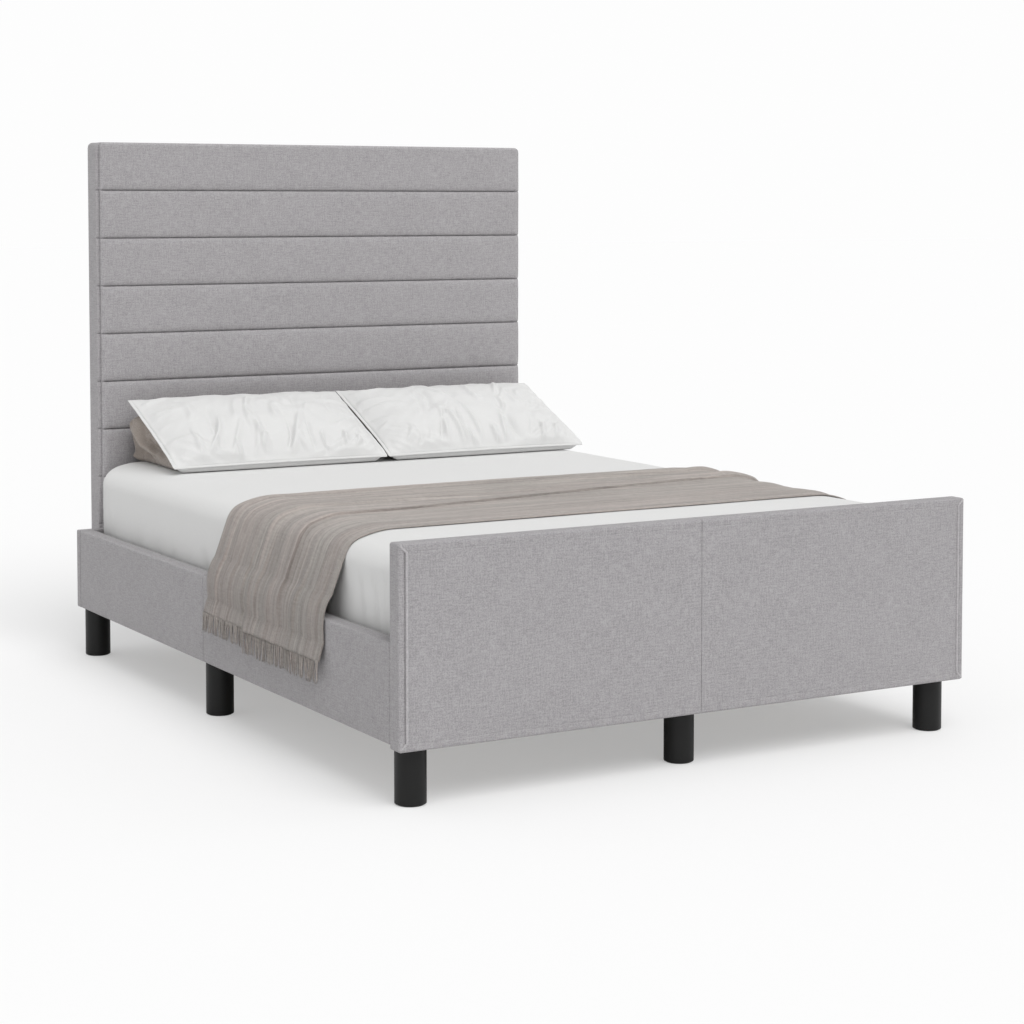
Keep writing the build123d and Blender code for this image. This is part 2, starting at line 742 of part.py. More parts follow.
def build_base():
    """Slats, centre beam, blocks and legs."""
    nodes = {}
    rows = slat_rows()
    right_slats = [slat(y) for y in rows]
    nodes["slats_right"] = right_slats
    nodes["slats_left"] = [mirror(part, about=Plane.YZ) for part in right_slats]
    nodes["side_slat_holders"] = mirrored([side_holder(y) for y in rows])
    nodes["centre_slat_holders"] = [centre_holder(y) for y in rows]

    legs = {
        "foot_left": (-foot_leg_x, foot_leg_y, footboard_bottom),
        "foot_centre": (0, centre_foot_leg_y, hanger_bottom),
        "foot_right": (foot_leg_x, foot_leg_y, footboard_bottom),
        "middle_left": (-side_leg_x, middle_leg_y, rail_bottom),
        "middle_centre": (0, middle_leg_y, beam_bottom),
        "middle_right": (side_leg_x, middle_leg_y, rail_bottom),
        "head_left": (-side_leg_x, head_leg_y, rail_bottom),
        "head_centre": (0, centre_head_leg_y, hanger_bottom),
        "head_right": (side_leg_x, head_leg_y, rail_bottom),
    }
    studs = [stud(*place) for place in legs.values()]
    for name, place in legs.items():
        nodes[f"leg_{name}"] = [cut(leg(*place), studs)]
    hangers = [beam_hanger(well_foot_y, 1)[0], beam_hanger(well_head_y, -1)[0]]
    nodes["centre_beam_hangers"] = [cut(part, studs) for part in hangers]
    nodes["leg_studs"] = studs
    nodes["leg_glides"] = [glide(x, y) for x, y, top in legs.values()]

    x_range = (well_half_width - block_size, well_half_width)
    foot_block = block(x_range, (well_foot_y, well_foot_y + block_size),
                       (footboard_bottom, footboard_bottom + block_height))
    head_block = block(x_range, (well_head_y - block_size, well_head_y),
                       (rail_bottom, rail_bottom + block_height))
    middle_block = block(x_range,
                         (middle_leg_y - middle_block_length / 2, middle_leg_y + middle_block_length / 2),
                         (rail_bottom, rail_bottom + middle_block_height))
    nodes["corner_blocks"] = [cut(part, studs) for part in mirrored([foot_block, head_block])]
    nodes["middle_leg_blocks"] = [cut(part, studs) for part in mirrored([middle_block])]

    beam_foot = well_foot_y + steel_plate + beam_end_gap
    beam_head = well_head_y - steel_plate - beam_end_gap
    sleeve = beam_sleeve()
    nodes["centre_beam_front"] = [cut(centre_beam((beam_foot, joint_y)), studs)]
    nodes["centre_beam_rear"] = [cut(centre_beam((joint_y, beam_head)), studs)]
    nodes["centre_beam_sleeve"] = [cut(sleeve, studs)]
    return nodes


def build_bedding():
    """Mattress, sheet, throw, pillows and the cushions behind them."""
    nodes = {}
    body, sheet = mattress_and_sheet()
    nodes["mattress"] = [body]
    nodes["fitted_sheet"] = [sheet]
    drape, fringe = throw_and_fringe()
    nodes["throw"] = [drape]
    nodes["throw_fringe"] = fringe
    for name, side in (("left", -1), ("right", 1)):
        x = pillows_off_centre + side * (pillow_width + pillow_gap) / 2
        nodes[f"pillow_{name}"] = [pillow(x)]
        nodes[f"cushion_{name}"] = [cushion(x)]
    return nodes


def main():
    os.makedirs("parts", exist_ok=True)
    nodes = {**build_frame(), **build_base(), **build_bedding()}
    for node, shapes in nodes.items():
        save(node, shapes)
    print(len(nodes), "nodes written")
    print("bed", 2 * half_width, "x", bed_length, "x", headboard_top)


main()
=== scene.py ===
"""Finish of an upholstered double bed: its fabric covers, bedding, timber, steel and studio.

Every new surface is an array of points worked out with numpy, in metres, in the
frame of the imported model: +Z up, +Y towards the headboard, origin on the floor.
"""

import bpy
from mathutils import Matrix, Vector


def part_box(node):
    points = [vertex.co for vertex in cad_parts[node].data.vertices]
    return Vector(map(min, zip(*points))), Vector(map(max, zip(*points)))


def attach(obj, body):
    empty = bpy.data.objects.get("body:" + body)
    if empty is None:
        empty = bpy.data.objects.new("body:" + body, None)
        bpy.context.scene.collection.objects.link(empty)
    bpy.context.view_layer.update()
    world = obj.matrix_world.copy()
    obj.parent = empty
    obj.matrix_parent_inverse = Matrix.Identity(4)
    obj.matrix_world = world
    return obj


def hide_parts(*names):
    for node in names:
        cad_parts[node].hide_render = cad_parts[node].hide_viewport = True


bl_info = {
    "name": "Upholstered bed finish",
    "version": (1, 0, 0),
    "blender": (4, 5, 0),
    "location": "View3D > Sidebar > Bed",
    "description": "Covers, bedding, materials and studio for an upholstered double bed",
    "category": "Add Mesh",
}

from math import cos, pi, radians, sin

import bmesh
import bpy
import numpy as np
from bpy.props import FloatProperty, FloatVectorProperty, IntProperty, PointerProperty
from mathutils import Euler

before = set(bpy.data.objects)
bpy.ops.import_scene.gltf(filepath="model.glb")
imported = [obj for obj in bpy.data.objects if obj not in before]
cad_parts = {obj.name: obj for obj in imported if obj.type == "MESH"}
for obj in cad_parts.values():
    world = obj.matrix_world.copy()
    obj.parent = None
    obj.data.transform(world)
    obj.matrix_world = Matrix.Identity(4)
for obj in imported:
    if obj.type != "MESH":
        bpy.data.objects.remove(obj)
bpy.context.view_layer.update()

HEM_STEP_AT = 0.416        # where the hem's step is, from the throw's foot side
MATTRESS_INSET = 0.014     # room for the sheet's folds round the mattress
CUSHION_EAR = 0.019        # how far a cushion's ends may reach past its solid
PILLOW_ASIDE = {"pillow_left": -0.005, "pillow_right": -0.0155}


# ---- Sizes and colours that a user would change ------------------------------

def length(name, text, default):
    return FloatProperty(name=name, description=text, default=default, min=0.0,
                         subtype="DISTANCE", unit="LENGTH", precision=4)


def colour(name, text, default):
    return FloatVectorProperty(name=name, description=text, default=default, size=3,
                               min=0.0, max=1.0, subtype="COLOR")


def number(name, text, default):
    return FloatProperty(name=name, description=text, default=default, min=0.0)


def count(name, text, default):
    return IntProperty(name=name, description=text, default=default, min=1)


class BedSizes(bpy.types.PropertyGroup):
    channel_count: count("Channels", "Horizontal channels sewn into the headboard", 9)
    channel_depth: length("Channel depth", "How far a channel stands proud of its seams", 0.008)
    stitch_depth: length("Stitch depth", "How deep the stitched line lies below a channel's edge", 0.0055)
    headboard_corner: length("Headboard corner", "Radius of the headboard's corners", 0.014)
    headboard_roll: length("Headboard roll", "How far in from its sides the front rolls back", 0.017)
    side_crease: length("Side crease", "How far the front stands in from its side bands", 0.0085)
    board_edge: length("Board edge", "Radius of the padded edges of rails and footboard", 0.005)
    border_width: length("Border width", "Distance of the footboard's sewn border from its edge", 0.0185)
    piping_radius: length("Piping radius", "Radius of the piping along the border", 0.0029)
    sheet_wrinkle: length("Sheet wrinkle", "Depth of the folds in the fitted sheet", 0.0042)
    edge_drop: length("Edge drop", "How far the mattress falls away at its sides", 0.030)
    edge_reach: length("Edge reach", "How far in from its sides the mattress begins to fall", 0.120)
    pleat_height: length("Pleat height", "How far the pleats of the throw stand up", 0.0100)
    hem_step: length("Hem step", "How much higher the hem hangs on its head side", 0.007)
    fringe_spacing: length("Fringe spacing", "Distance between two strands of the fringe", 0.0062)
    pillow_flange: length("Pillow flange", "Width of the flat flange sewn round a pillow", 0.0070)
    pillow_tilt: FloatProperty(name="Pillow tilt", description="Slope of the pillows' undersides",
                               default=radians(24), subtype="ANGLE", unit="ROTATION")
    pillow_seam_height: length("Pillow seam height", "Height of the seam above a pillow's underside", 0.0185)
    pillow_slope: length("Pillow slope", "Length of a pillow up its slope, flange included", 0.378)
    pillow_crown: length("Pillow crown", "Height of a pillow's middle above its underside", 0.086)
    upholstery_yarn: length("Upholstery yarn", "Distance between two yarns of the upholstery", 0.0011)


class BedColours(bpy.types.PropertyGroup):
    upholstery: colour("Upholstery", "Lighter yarn of the upholstery", (0.407, 0.393, 0.403))
    upholstery_dark: colour("Upholstery, dark", "Darker yarn of the upholstery", (0.264, 0.254, 0.261))
    linen: colour("Linen", "Sheet and pillows", (0.688, 0.688, 0.682))
    throw: colour("Throw", "Warm yarn of the throw", (0.337, 0.297, 0.276))
    throw_cool: colour("Throw, cool", "Cool yarn of the throw", (0.315, 0.291, 0.270))
    cushion: colour("Cushion", "Cloth of the cushions under the pillows", (0.235, 0.198, 0.170))
    leg: colour("Legs", "Paint of the legs", (0.0058, 0.0058, 0.0057))


class BedStudio(bpy.types.PropertyGroup):
    sky: number("Sky", "Strength of the even light from all round", 0.655)
    key: number("Key lamp", "Strength of the lamp from above and in front", 1.88)
    side: number("Side lamp", "Strength of the lamp from the right", 0.14)
    fill: number("Fill lamp", "Strength of the lamp from the left", 0.05)
    lens: number("Lens", "Focal length of the camera, in millimetres", 81.104)
    floor: colour("Floor", "Colour of the studio floor", (0.852, 0.852, 0.852))
    floor_glow: number("Floor glow", "Brightness of the floor's own light, seen by the camera only", 0.95)
    surround: number("Surround", "Brightness of the white surround", 0.984)


# ---- Surfaces ------------------------------------------------------------------

def grid_faces(rows, columns, closed=False):
    """Quads of a grid of points stored row by row; closed joins the last column to the first."""
    across = columns if closed else columns - 1
    row, column = np.mgrid[0:rows - 1, 0:across]
    following = (column + 1) % columns
    corners = (row * columns + column, row * columns + following,
               (row + 1) * columns + following, (row + 1) * columns + column)
    return np.stack(corners, -1).reshape(-1, 4)


def enclosed(points, faces):
    """Volume inside the faces: the sum of each triangle's corner product over six."""
    total = 0.0
    for second, third in ((1, 2), (2, 3)):
        a, b, c = (points[faces[:, corner]] for corner in (0, second, third))
        total += (a * np.cross(b, c)).sum() / 6
    return total


def smooth(value, low, high):
    """0 below low, 1 above high, and an S curve 3t^2 - 2t^3 between them."""
    share = np.clip((value - low) / (high - low), 0, 1)
    return share * share * (3 - 2 * share)


def bell(distance, half, far=None):
    """A bell curve exp(-(distance / half)^2), with another half width past 0 where far is given."""
    wide = half if far is None else np.where(distance < 0, half, far)
    return np.exp(-(distance / wide) ** 2)


def ripple(a, b, seed, wavelength, waves=9):
    """Soft unevenness from -1 to 1: a sum of sines with random headings and phases."""
    dice = np.random.default_rng(seed)
    total = 0.0
    for heading, phase, scale in zip(dice.uniform(0, pi, waves), dice.uniform(0, 2 * pi, waves),
                                     dice.uniform(0.6, 1.7, waves)):
        turn = 2 * pi * scale / wavelength
        total = total + np.sin(turn * (a * cos(heading) + b * sin(heading)) + phase)
    return total / (waves ** 0.5 * 1.6)


def creases(a, b, lines):
    """Sum of soft ridges, one to a line (a0, b0, a1, b1, half width, height, bow).

    A ridge is a bell curve of the distance from its line, steep on one side and
    twice as wide on the other. It bends sideways by bow in its middle, as
    4t(1 - t), and fades at both ends.
    """
    total = np.zeros(np.broadcast(a, b).shape)
    for a0, b0, a1, b1, half, height, bow in lines:
        span = np.hypot(a1 - a0, b1 - b0)
        along = ((a - a0) * (a1 - a0) + (b - b0) * (b1 - b0)) / span
        aside = ((a - a0) * (b1 - b0) - (b - b0) * (a1 - a0)) / span
        share = np.clip(along / span, 0, 1)
        aside = aside - bow * 4 * share * (1 - share)
        fade = smooth(along, -half, span * 0.20) * (1 - smooth(along, span * 0.45, span))
        total += height * fade * bell(aside, half, 2 * half)
    return total


def settled(x, y, z, sizes):
    """Height of a point on the mattress once its sides have fallen away.

    The drop is edge_drop times the square of the share of edge_reach that is left
    to the side, half as far and half as deep at the foot, and it fades out below.
    """
    low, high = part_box("mattress")
    from_side = high.x - np.abs(x)
    from_foot = y - low.y
    side = np.clip(1 - from_side / sizes.edge_reach, 0, 1.02) ** 2
    foot = 0.5 * np.clip(1 - from_foot / (0.5 * sizes.edge_reach), 0, 1.02) ** 2
    held = smooth(z, high.z - 0.150, high.z - 0.030)
    return z - sizes.edge_drop * np.maximum(side, foot) * held


def reworked(mesh, change):
    """Puts a mesh through bmesh and back, then shades it smooth."""
    work = bmesh.new()
    work.from_mesh(mesh)
    change(work)
    work.to_mesh(mesh)
    work.free()
    mesh.polygons.foreach_set("use_smooth", np.ones(len(mesh.polygons), bool))


def piece(name, points, faces, body, material, places=None, inflate=False, weld=1e-6):
    """Makes one mesh piece at the origin, welded, with its faces outwards.

    places are the pattern's flat coordinates in metres, one to a point.
    """
    points = np.asarray(points, float).reshape(-1, 3)
    faces = np.asarray(faces)
    if enclosed(points, faces) < 0:
        faces = faces[:, ::-1]
    mesh = bpy.data.meshes.new(name)
    mesh.from_pydata(points.tolist(), [], faces.tolist())
    if places is not None:
        layer = mesh.uv_layers.new(name="cloth")
        used = np.zeros(len(mesh.loops), int)
        mesh.loops.foreach_get("vertex_index", used)
        flat = np.asarray(places, np.float32).reshape(-1, 2)[used]
        layer.data.foreach_set("uv", flat.ravel())

    def weld_points(work):
        if weld:
            bmesh.ops.remove_doubles(work, verts=work.verts, dist=weld)
            bmesh.ops.dissolve_degenerate(work, edges=work.edges, dist=1e-7)

    reworked(mesh, weld_points)
    made = bpy.data.objects.new(name, mesh)
    bpy.context.scene.collection.objects.link(made)
    made.data.materials.append(material)
    if not inflate:
        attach(made, body)
    return made


def stack(parts):
    """Several (points, faces, places) as one."""
    points, faces, places, start = [], [], [], 0
    for part_points, part_faces, part_places in parts:
        part_points = np.asarray(part_points).reshape(-1, 3)
        points.append(part_points)
        faces.append(np.asarray(part_faces) + start)
        places.append(np.asarray(part_places).reshape(-1, 2))
        start += len(part_points)
    return np.concatenate(points), np.concatenate(faces), np.concatenate(places)


def thicken(made, amount):
    """A live Solidify that gives a sheet its thickness, inwards."""
    wall = made.modifiers.new("thickness", "SOLIDIFY")
    wall.thickness = amount
    wall.offset = -1.0
    wall.use_even_offset = False


def rings(half_a, half_b, corner, spacing, inset):
    """Closed rounded rectangles, one to each inset, with matching points.

    Each ring runs along a side, round a quarter circle, and so on. Its corner
    radius shrinks with the inset down to a small one and never passes the half size.
    """
    inset = np.asarray(inset, float)[:, None]
    size_a = np.maximum(half_a - inset, 0)
    size_b = np.maximum(half_b - inset, 0)
    bend = np.minimum(np.maximum(corner - inset, min(corner, 0.004)), np.minimum(size_a, size_b))
    side_a = np.linspace(-1, 1, max(int(2 * half_a / spacing), 8))[None, :]
    side_b = np.linspace(-1, 1, max(int(2 * half_b / spacing), 8))[None, :]
    turn = np.linspace(0, pi / 2, 8)[None, 1:-1]
    a, b = [], []
    for quarter in range(4):
        if quarter % 2 == 0:
            sign = 1 - quarter
            a.append(sign * size_a + 0 * side_b)
            b.append(sign * side_b * (size_b - bend))
        else:
            sign = 2 - quarter
            a.append(-sign * side_a * (size_a - bend))
            b.append(sign * size_b + 0 * side_a)
        heading = turn + quarter * pi / 2
        centre_a = np.sign(cos(quarter * pi / 2 + pi / 4)) * (size_a - bend)
        centre_b = np.sign(sin(quarter * pi / 2 + pi / 4)) * (size_b - bend)
        a.append(centre_a + bend * np.cos(heading))
        b.append(centre_b + bend * np.sin(heading))
    return np.concatenate(a, 1), np.concatenate(b, 1)


def padded_shell(half_a, half_b, corner, thick, edge, spacing, marks=(), back=True, tuck=0.0):
    """A wrapped board or block: rings carried along a profile of inset and height.

    The profile runs from the middle of the front, over a round edge, down the side,
    round the back edge and to the middle of the back, or only as far as tuck.
    Returns a, b and height of every point, its flat place, and its ring's inset
    (negative past the front edge).
    """
    middle = min(half_a, half_b)
    flat = np.arange(middle, edge, -spacing)
    flat = np.unique(np.concatenate([flat, [middle, edge], marks]))[::-1]
    bend = np.linspace(0, pi / 2, 7)[1:]
    inset = [flat, edge * (1 - np.sin(bend))]
    height = [0 * flat, -edge * (1 - np.cos(bend))]
    side = np.linspace(-edge, -(thick - edge), max(int((thick - 2 * edge) / spacing), 2) + 1)[1:]
    inset.append(0 * side)
    height.append(side)
    inset.append(edge * (1 - np.cos(bend)))
    height.append(-(thick - edge) - edge * np.sin(bend))
    last = middle if back else tuck
    behind = np.append(np.arange(edge, last, spacing * 2)[1:], last)
    inset.append(behind)
    height.append(0 * behind - thick)
    inset, height = np.concatenate(inset), np.concatenate(height)
    steps = np.hypot(np.diff(inset), np.diff(height))
    travelled = middle - np.concatenate([[0], np.cumsum(steps)])
    a, b = rings(half_a, half_b, corner, spacing, inset)
    place_a, place_b = rings(half_a, half_b, corner, spacing, travelled)
    height = np.repeat(height[:, None], a.shape[1], 1)
    travelled = np.repeat(travelled[:, None], a.shape[1], 1)
    return a, b, height, np.stack([place_a, place_b], -1), travelled


def wrapped(name, points, body, material, places, stands_for):
    """One piece from a wrapped board or block's points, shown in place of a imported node."""
    made = piece(name, points, grid_faces(*points.shape[:2], closed=True), body, material, places)
    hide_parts(stands_for)
    return made


def tube(path, radius, sides):
    """A round profile carried along a path of points and closed to a point at both ends."""
    ahead = np.roll(path, -1, 0) - np.roll(path, 1, 0)
    ahead[0], ahead[-1] = path[1] - path[0], path[-1] - path[-2]
    ahead /= np.linalg.norm(ahead, axis=1, keepdims=True)
    up = np.array([0.31, 0.52, 0.80])
    across = np.cross(ahead, up)
    across /= np.linalg.norm(across, axis=1, keepdims=True)
    third = np.cross(ahead, across)
    turn = np.linspace(0, 2 * pi, sides + 1)
    ring = across[:, None] * np.cos(turn)[None, :, None] + third[:, None] * np.sin(turn)[None, :, None]
    points = path[:, None] + radius * ring
    run = np.concatenate([[0], np.cumsum(np.linalg.norm(np.diff(path, axis=0), axis=1))])
    places = np.stack(np.broadcast_arrays(run[:, None], (turn * radius)[None, :]), -1)
    tips = np.repeat(path[[0, -1]][:, None], sides + 1, 1)
    points = np.concatenate([tips[:1], points, tips[1:]])
    places = np.concatenate([places[:1], places, places[-1:]])
    return points, grid_faces(points.shape[0], sides + 1), places


# ---- Materials -------------------------------------------------------------------

def add(tree, kind, values=None, **settings):
    """One shader node; a value that is a socket is linked, any other is set."""
    made = tree.nodes.new("ShaderNode" + kind)
    for name, value in settings.items():
        setattr(made, name, value)
    for key, value in (values or {}).items():
        if isinstance(value, bpy.types.NodeSocket):
            tree.links.new(value, made.inputs[key])
        else:
            made.inputs[key].default_value = value
    return made


def maths(operation, *values):
    """A Math node, in the tree of the first value that is a socket."""
    tree = next(value for value in values if isinstance(value, bpy.types.NodeSocket)).id_data
    return add(tree, "Math", dict(enumerate(values)), operation=operation).outputs[0]


def plus(first, second):
    return maths("ADD", first, second)


def minus(first, second):
    return maths("SUBTRACT", first, second)


def times(first, second):
    return maths("MULTIPLY", first, second)


def clamped(value):
    return add(value.id_data, "Clamp", {0: value}).outputs[0]


def mapped(value, low, high, first=0.0, second=1.0):
    """The value's share of the way from low to high, as a number between first and second."""
    return add(value.id_data, "MapRange", {0: value, 1: low, 2: high, 3: first, 4: second}).outputs[0]


def parts_of(vector):
    return add(vector.id_data, "SeparateXYZ", {0: vector}).outputs


def grown(vector, factor):
    """The vector times one number."""
    return add(vector.id_data, "VectorMath", {0: vector, "Scale": factor}, operation="SCALE").outputs[0]


def scaled(vector, factors):
    """The vector with each of its parts times a factor of its own."""
    values = {"Vector": vector, "Scale": factors}
    return add(vector.id_data, "Mapping", values, vector_type="POINT").outputs[0]


def noise(vector, scale, detail=2.0, rough=0.5):
    return add(vector.id_data, "TexNoise", {"Vector": vector, "Scale": scale, "Detail": detail,
                                            "Roughness": rough}).outputs["Fac"]


def blend_of(tree, share, first, second):
    """A colour between two, by share."""
    made = add(tree, "Mix", {0: share}, data_type="RGBA")
    for key, value in ((6, first), (7, second)):
        made.inputs[key].default_value = (*value, 1.0)
    return made.outputs[2]


def group(name, values):
    """A shader group that turns a Place and some values into a Shade and a Height."""
    tree = bpy.data.node_groups.new(name, "ShaderNodeTree")
    tree.interface.new_socket("Place", in_out="INPUT", socket_type="NodeSocketVector")
    for label, value in values.items():
        socket = tree.interface.new_socket(label, in_out="INPUT", socket_type="NodeSocketFloat")
        socket.default_value = value
    for label in ("Shade", "Height"):
        tree.interface.new_socket(label, in_out="OUTPUT", socket_type="NodeSocketFloat")
    return tree, tree.nodes.new("NodeGroupInput").outputs, tree.nodes.new("NodeGroupOutput").inputs


def weave_group():
    """Plain weave: crossing yarns with slubs along each, soft cloudy flecks, and painted shade where a yarn dips
    under its neighbour.
    """
    tree, given, out = group("plain weave", {"Yarn": 0.001, "Slub": 0.5, "Cloud": 0.3, "Fleck": 0.0})
    place = given["Place"]
    yarns = grown(place, maths("DIVIDE", 1.0, given["Yarn"]))
    parts = parts_of(yarns)
    warp, weft = (maths("ABSOLUTE", maths("SINE", times(parts[axis], pi))) for axis in (0, 1))
    crossing = plus(maths("FLOOR", parts[0]), maths("FLOOR", parts[1]))
    over = maths("FLOORED_MODULO", crossing, 2.0)
    under = minus(1.0, over)
    height = plus(times(warp, over), times(weft, under))
    along = noise(scaled(yarns, (0.06, 0.8, 0.8)), 1.0, 3.0, 0.6)
    upwards = noise(scaled(yarns, (0.8, 0.06, 0.8)), 1.0, 3.0, 0.6)
    slub = plus(times(along, over), times(upwards, under))
    broad = plus(noise(scaled(yarns, (0.04, 0.30, 0.30)), 1.0, 3.0, 0.65),
                 noise(scaled(yarns, (0.30, 0.04, 0.30)), 1.0, 3.0, 0.65))
    slubs = times(minus(plus(slub, broad), 1.5), given["Slub"])
    cloud = minus(noise(place, 9.0, 3.0, 0.6), 0.5)
    spots = minus(plus(noise(scaled(place, (1.0, 1.7, 1.7)), 240.0, 3.0, 0.75),
                       noise(scaled(place, (1.7, 1.0, 1.7)), 240.0, 3.0, 0.75)), 1.0)
    shade = plus(plus(times(slubs, 1.6), times(spots, given["Fleck"])), times(cloud, given["Cloud"]))
    # Painted shade: the colour darkens where the yarn's height falls, in the hollows between yarns.
    depth = times(minus(height, 0.6), 0.35)
    tree.links.new(clamped(plus(plus(shade, depth), 0.5)), out["Shade"])
    tree.links.new(plus(height, times(slubs, 0.5)), out["Height"])
    return tree


def grain_group():
    """Wood grain: rings of a distorted band pattern, with fine pores along the length."""
    tree, given, out = group("wood grain", {"Rings": 60.0, "Pores": 0.4})
    place = given["Place"]
    warp = noise(scaled(place, (3.0, 0.7, 3.0)), 4.0, 3.0)
    values = {"Vector": place, "Scale": given["Rings"], "Distortion": 5.0, "Detail": 3.0, "Detail Scale": 0.4}
    bands = add(tree, "TexWave", values, wave_type="RINGS", rings_direction="Y")
    pores = noise(scaled(place, (1.0, 0.03, 1.0)), 900.0, 3.0, 0.7)
    grain = plus(times(bands.outputs["Fac"], 0.45), times(warp, 0.45))
    tree.links.new(clamped(plus(grain, times(minus(pores, 0.5), given["Pores"]))), out["Shade"])
    tree.links.new(plus(times(grain, 0.3), pores), out["Height"])
    return tree


def fleck_group():
    """Flecks: crisp cells over a soft cloud, for board, foam, felt and coated steel."""
    tree, given, out = group("flecks", {"Size": 0.002, "Cloud": 0.5})
    close = grown(given["Place"], maths("DIVIDE", 1.0, given["Size"]))
    cells = add(tree, "TexVoronoi", {"Vector": close, "Scale": 1.0}, feature="F1").outputs
    fleck = add(tree, "SeparateColor", {0: cells["Color"]}).outputs[0]
    cloud = noise(close, 0.15, 4.0, 0.6)
    shade = plus(times(fleck, 0.5), times(minus(cloud, 0.25), given["Cloud"]))
    tree.links.new(clamped(shade), out["Shade"])
    tree.links.new(minus(1.0, cells["Distance"]), out["Height"])
    return tree


class Finishes:
    """Makes the bed's materials from its three pattern groups."""

    def __init__(self):
        self.weave = weave_group()
        self.grain = grain_group()
        self.flecks = fleck_group()

    def start(self, name, pattern, values, flat):
        """A new material with its pattern group, on flat cloth places or on the object's own."""
        material = bpy.data.materials.new(name)
        material.use_nodes = True
        tree = material.node_tree
        place = (add(tree, "UVMap", uv_map="cloth").outputs[0] if flat
                 else add(tree, "TexCoord").outputs["Object"])
        used = add(tree, "Group", node_tree=pattern)
        tree.links.new(place, used.inputs["Place"])
        for key, value in values.items():
            used.inputs[key].default_value = value
        return tree, tree.nodes["Principled BSDF"], used.outputs, place

    def finish(self, name, pattern, values, light, dark, rough, bump, flat=False, **fixed):
        """A material that runs between two colours, with a bump from its pattern."""
        tree, shader, made, _ = self.start(name, pattern, values, flat)
        tree.links.new(blend_of(tree, made["Shade"], dark, light), shader.inputs["Base Color"])
        relief = add(tree, "Bump", {"Height": made["Height"], "Distance": bump, "Strength": 0.6})
        tree.links.new(relief.outputs[0], shader.inputs["Normal"])
        shader.inputs["Roughness"].default_value = rough
        for key, value in fixed.items():
            shader.inputs[key.replace("_", " ")].default_value = value


def paler(value, factor):
    return tuple(min(part * factor, 1.0) for part in value)


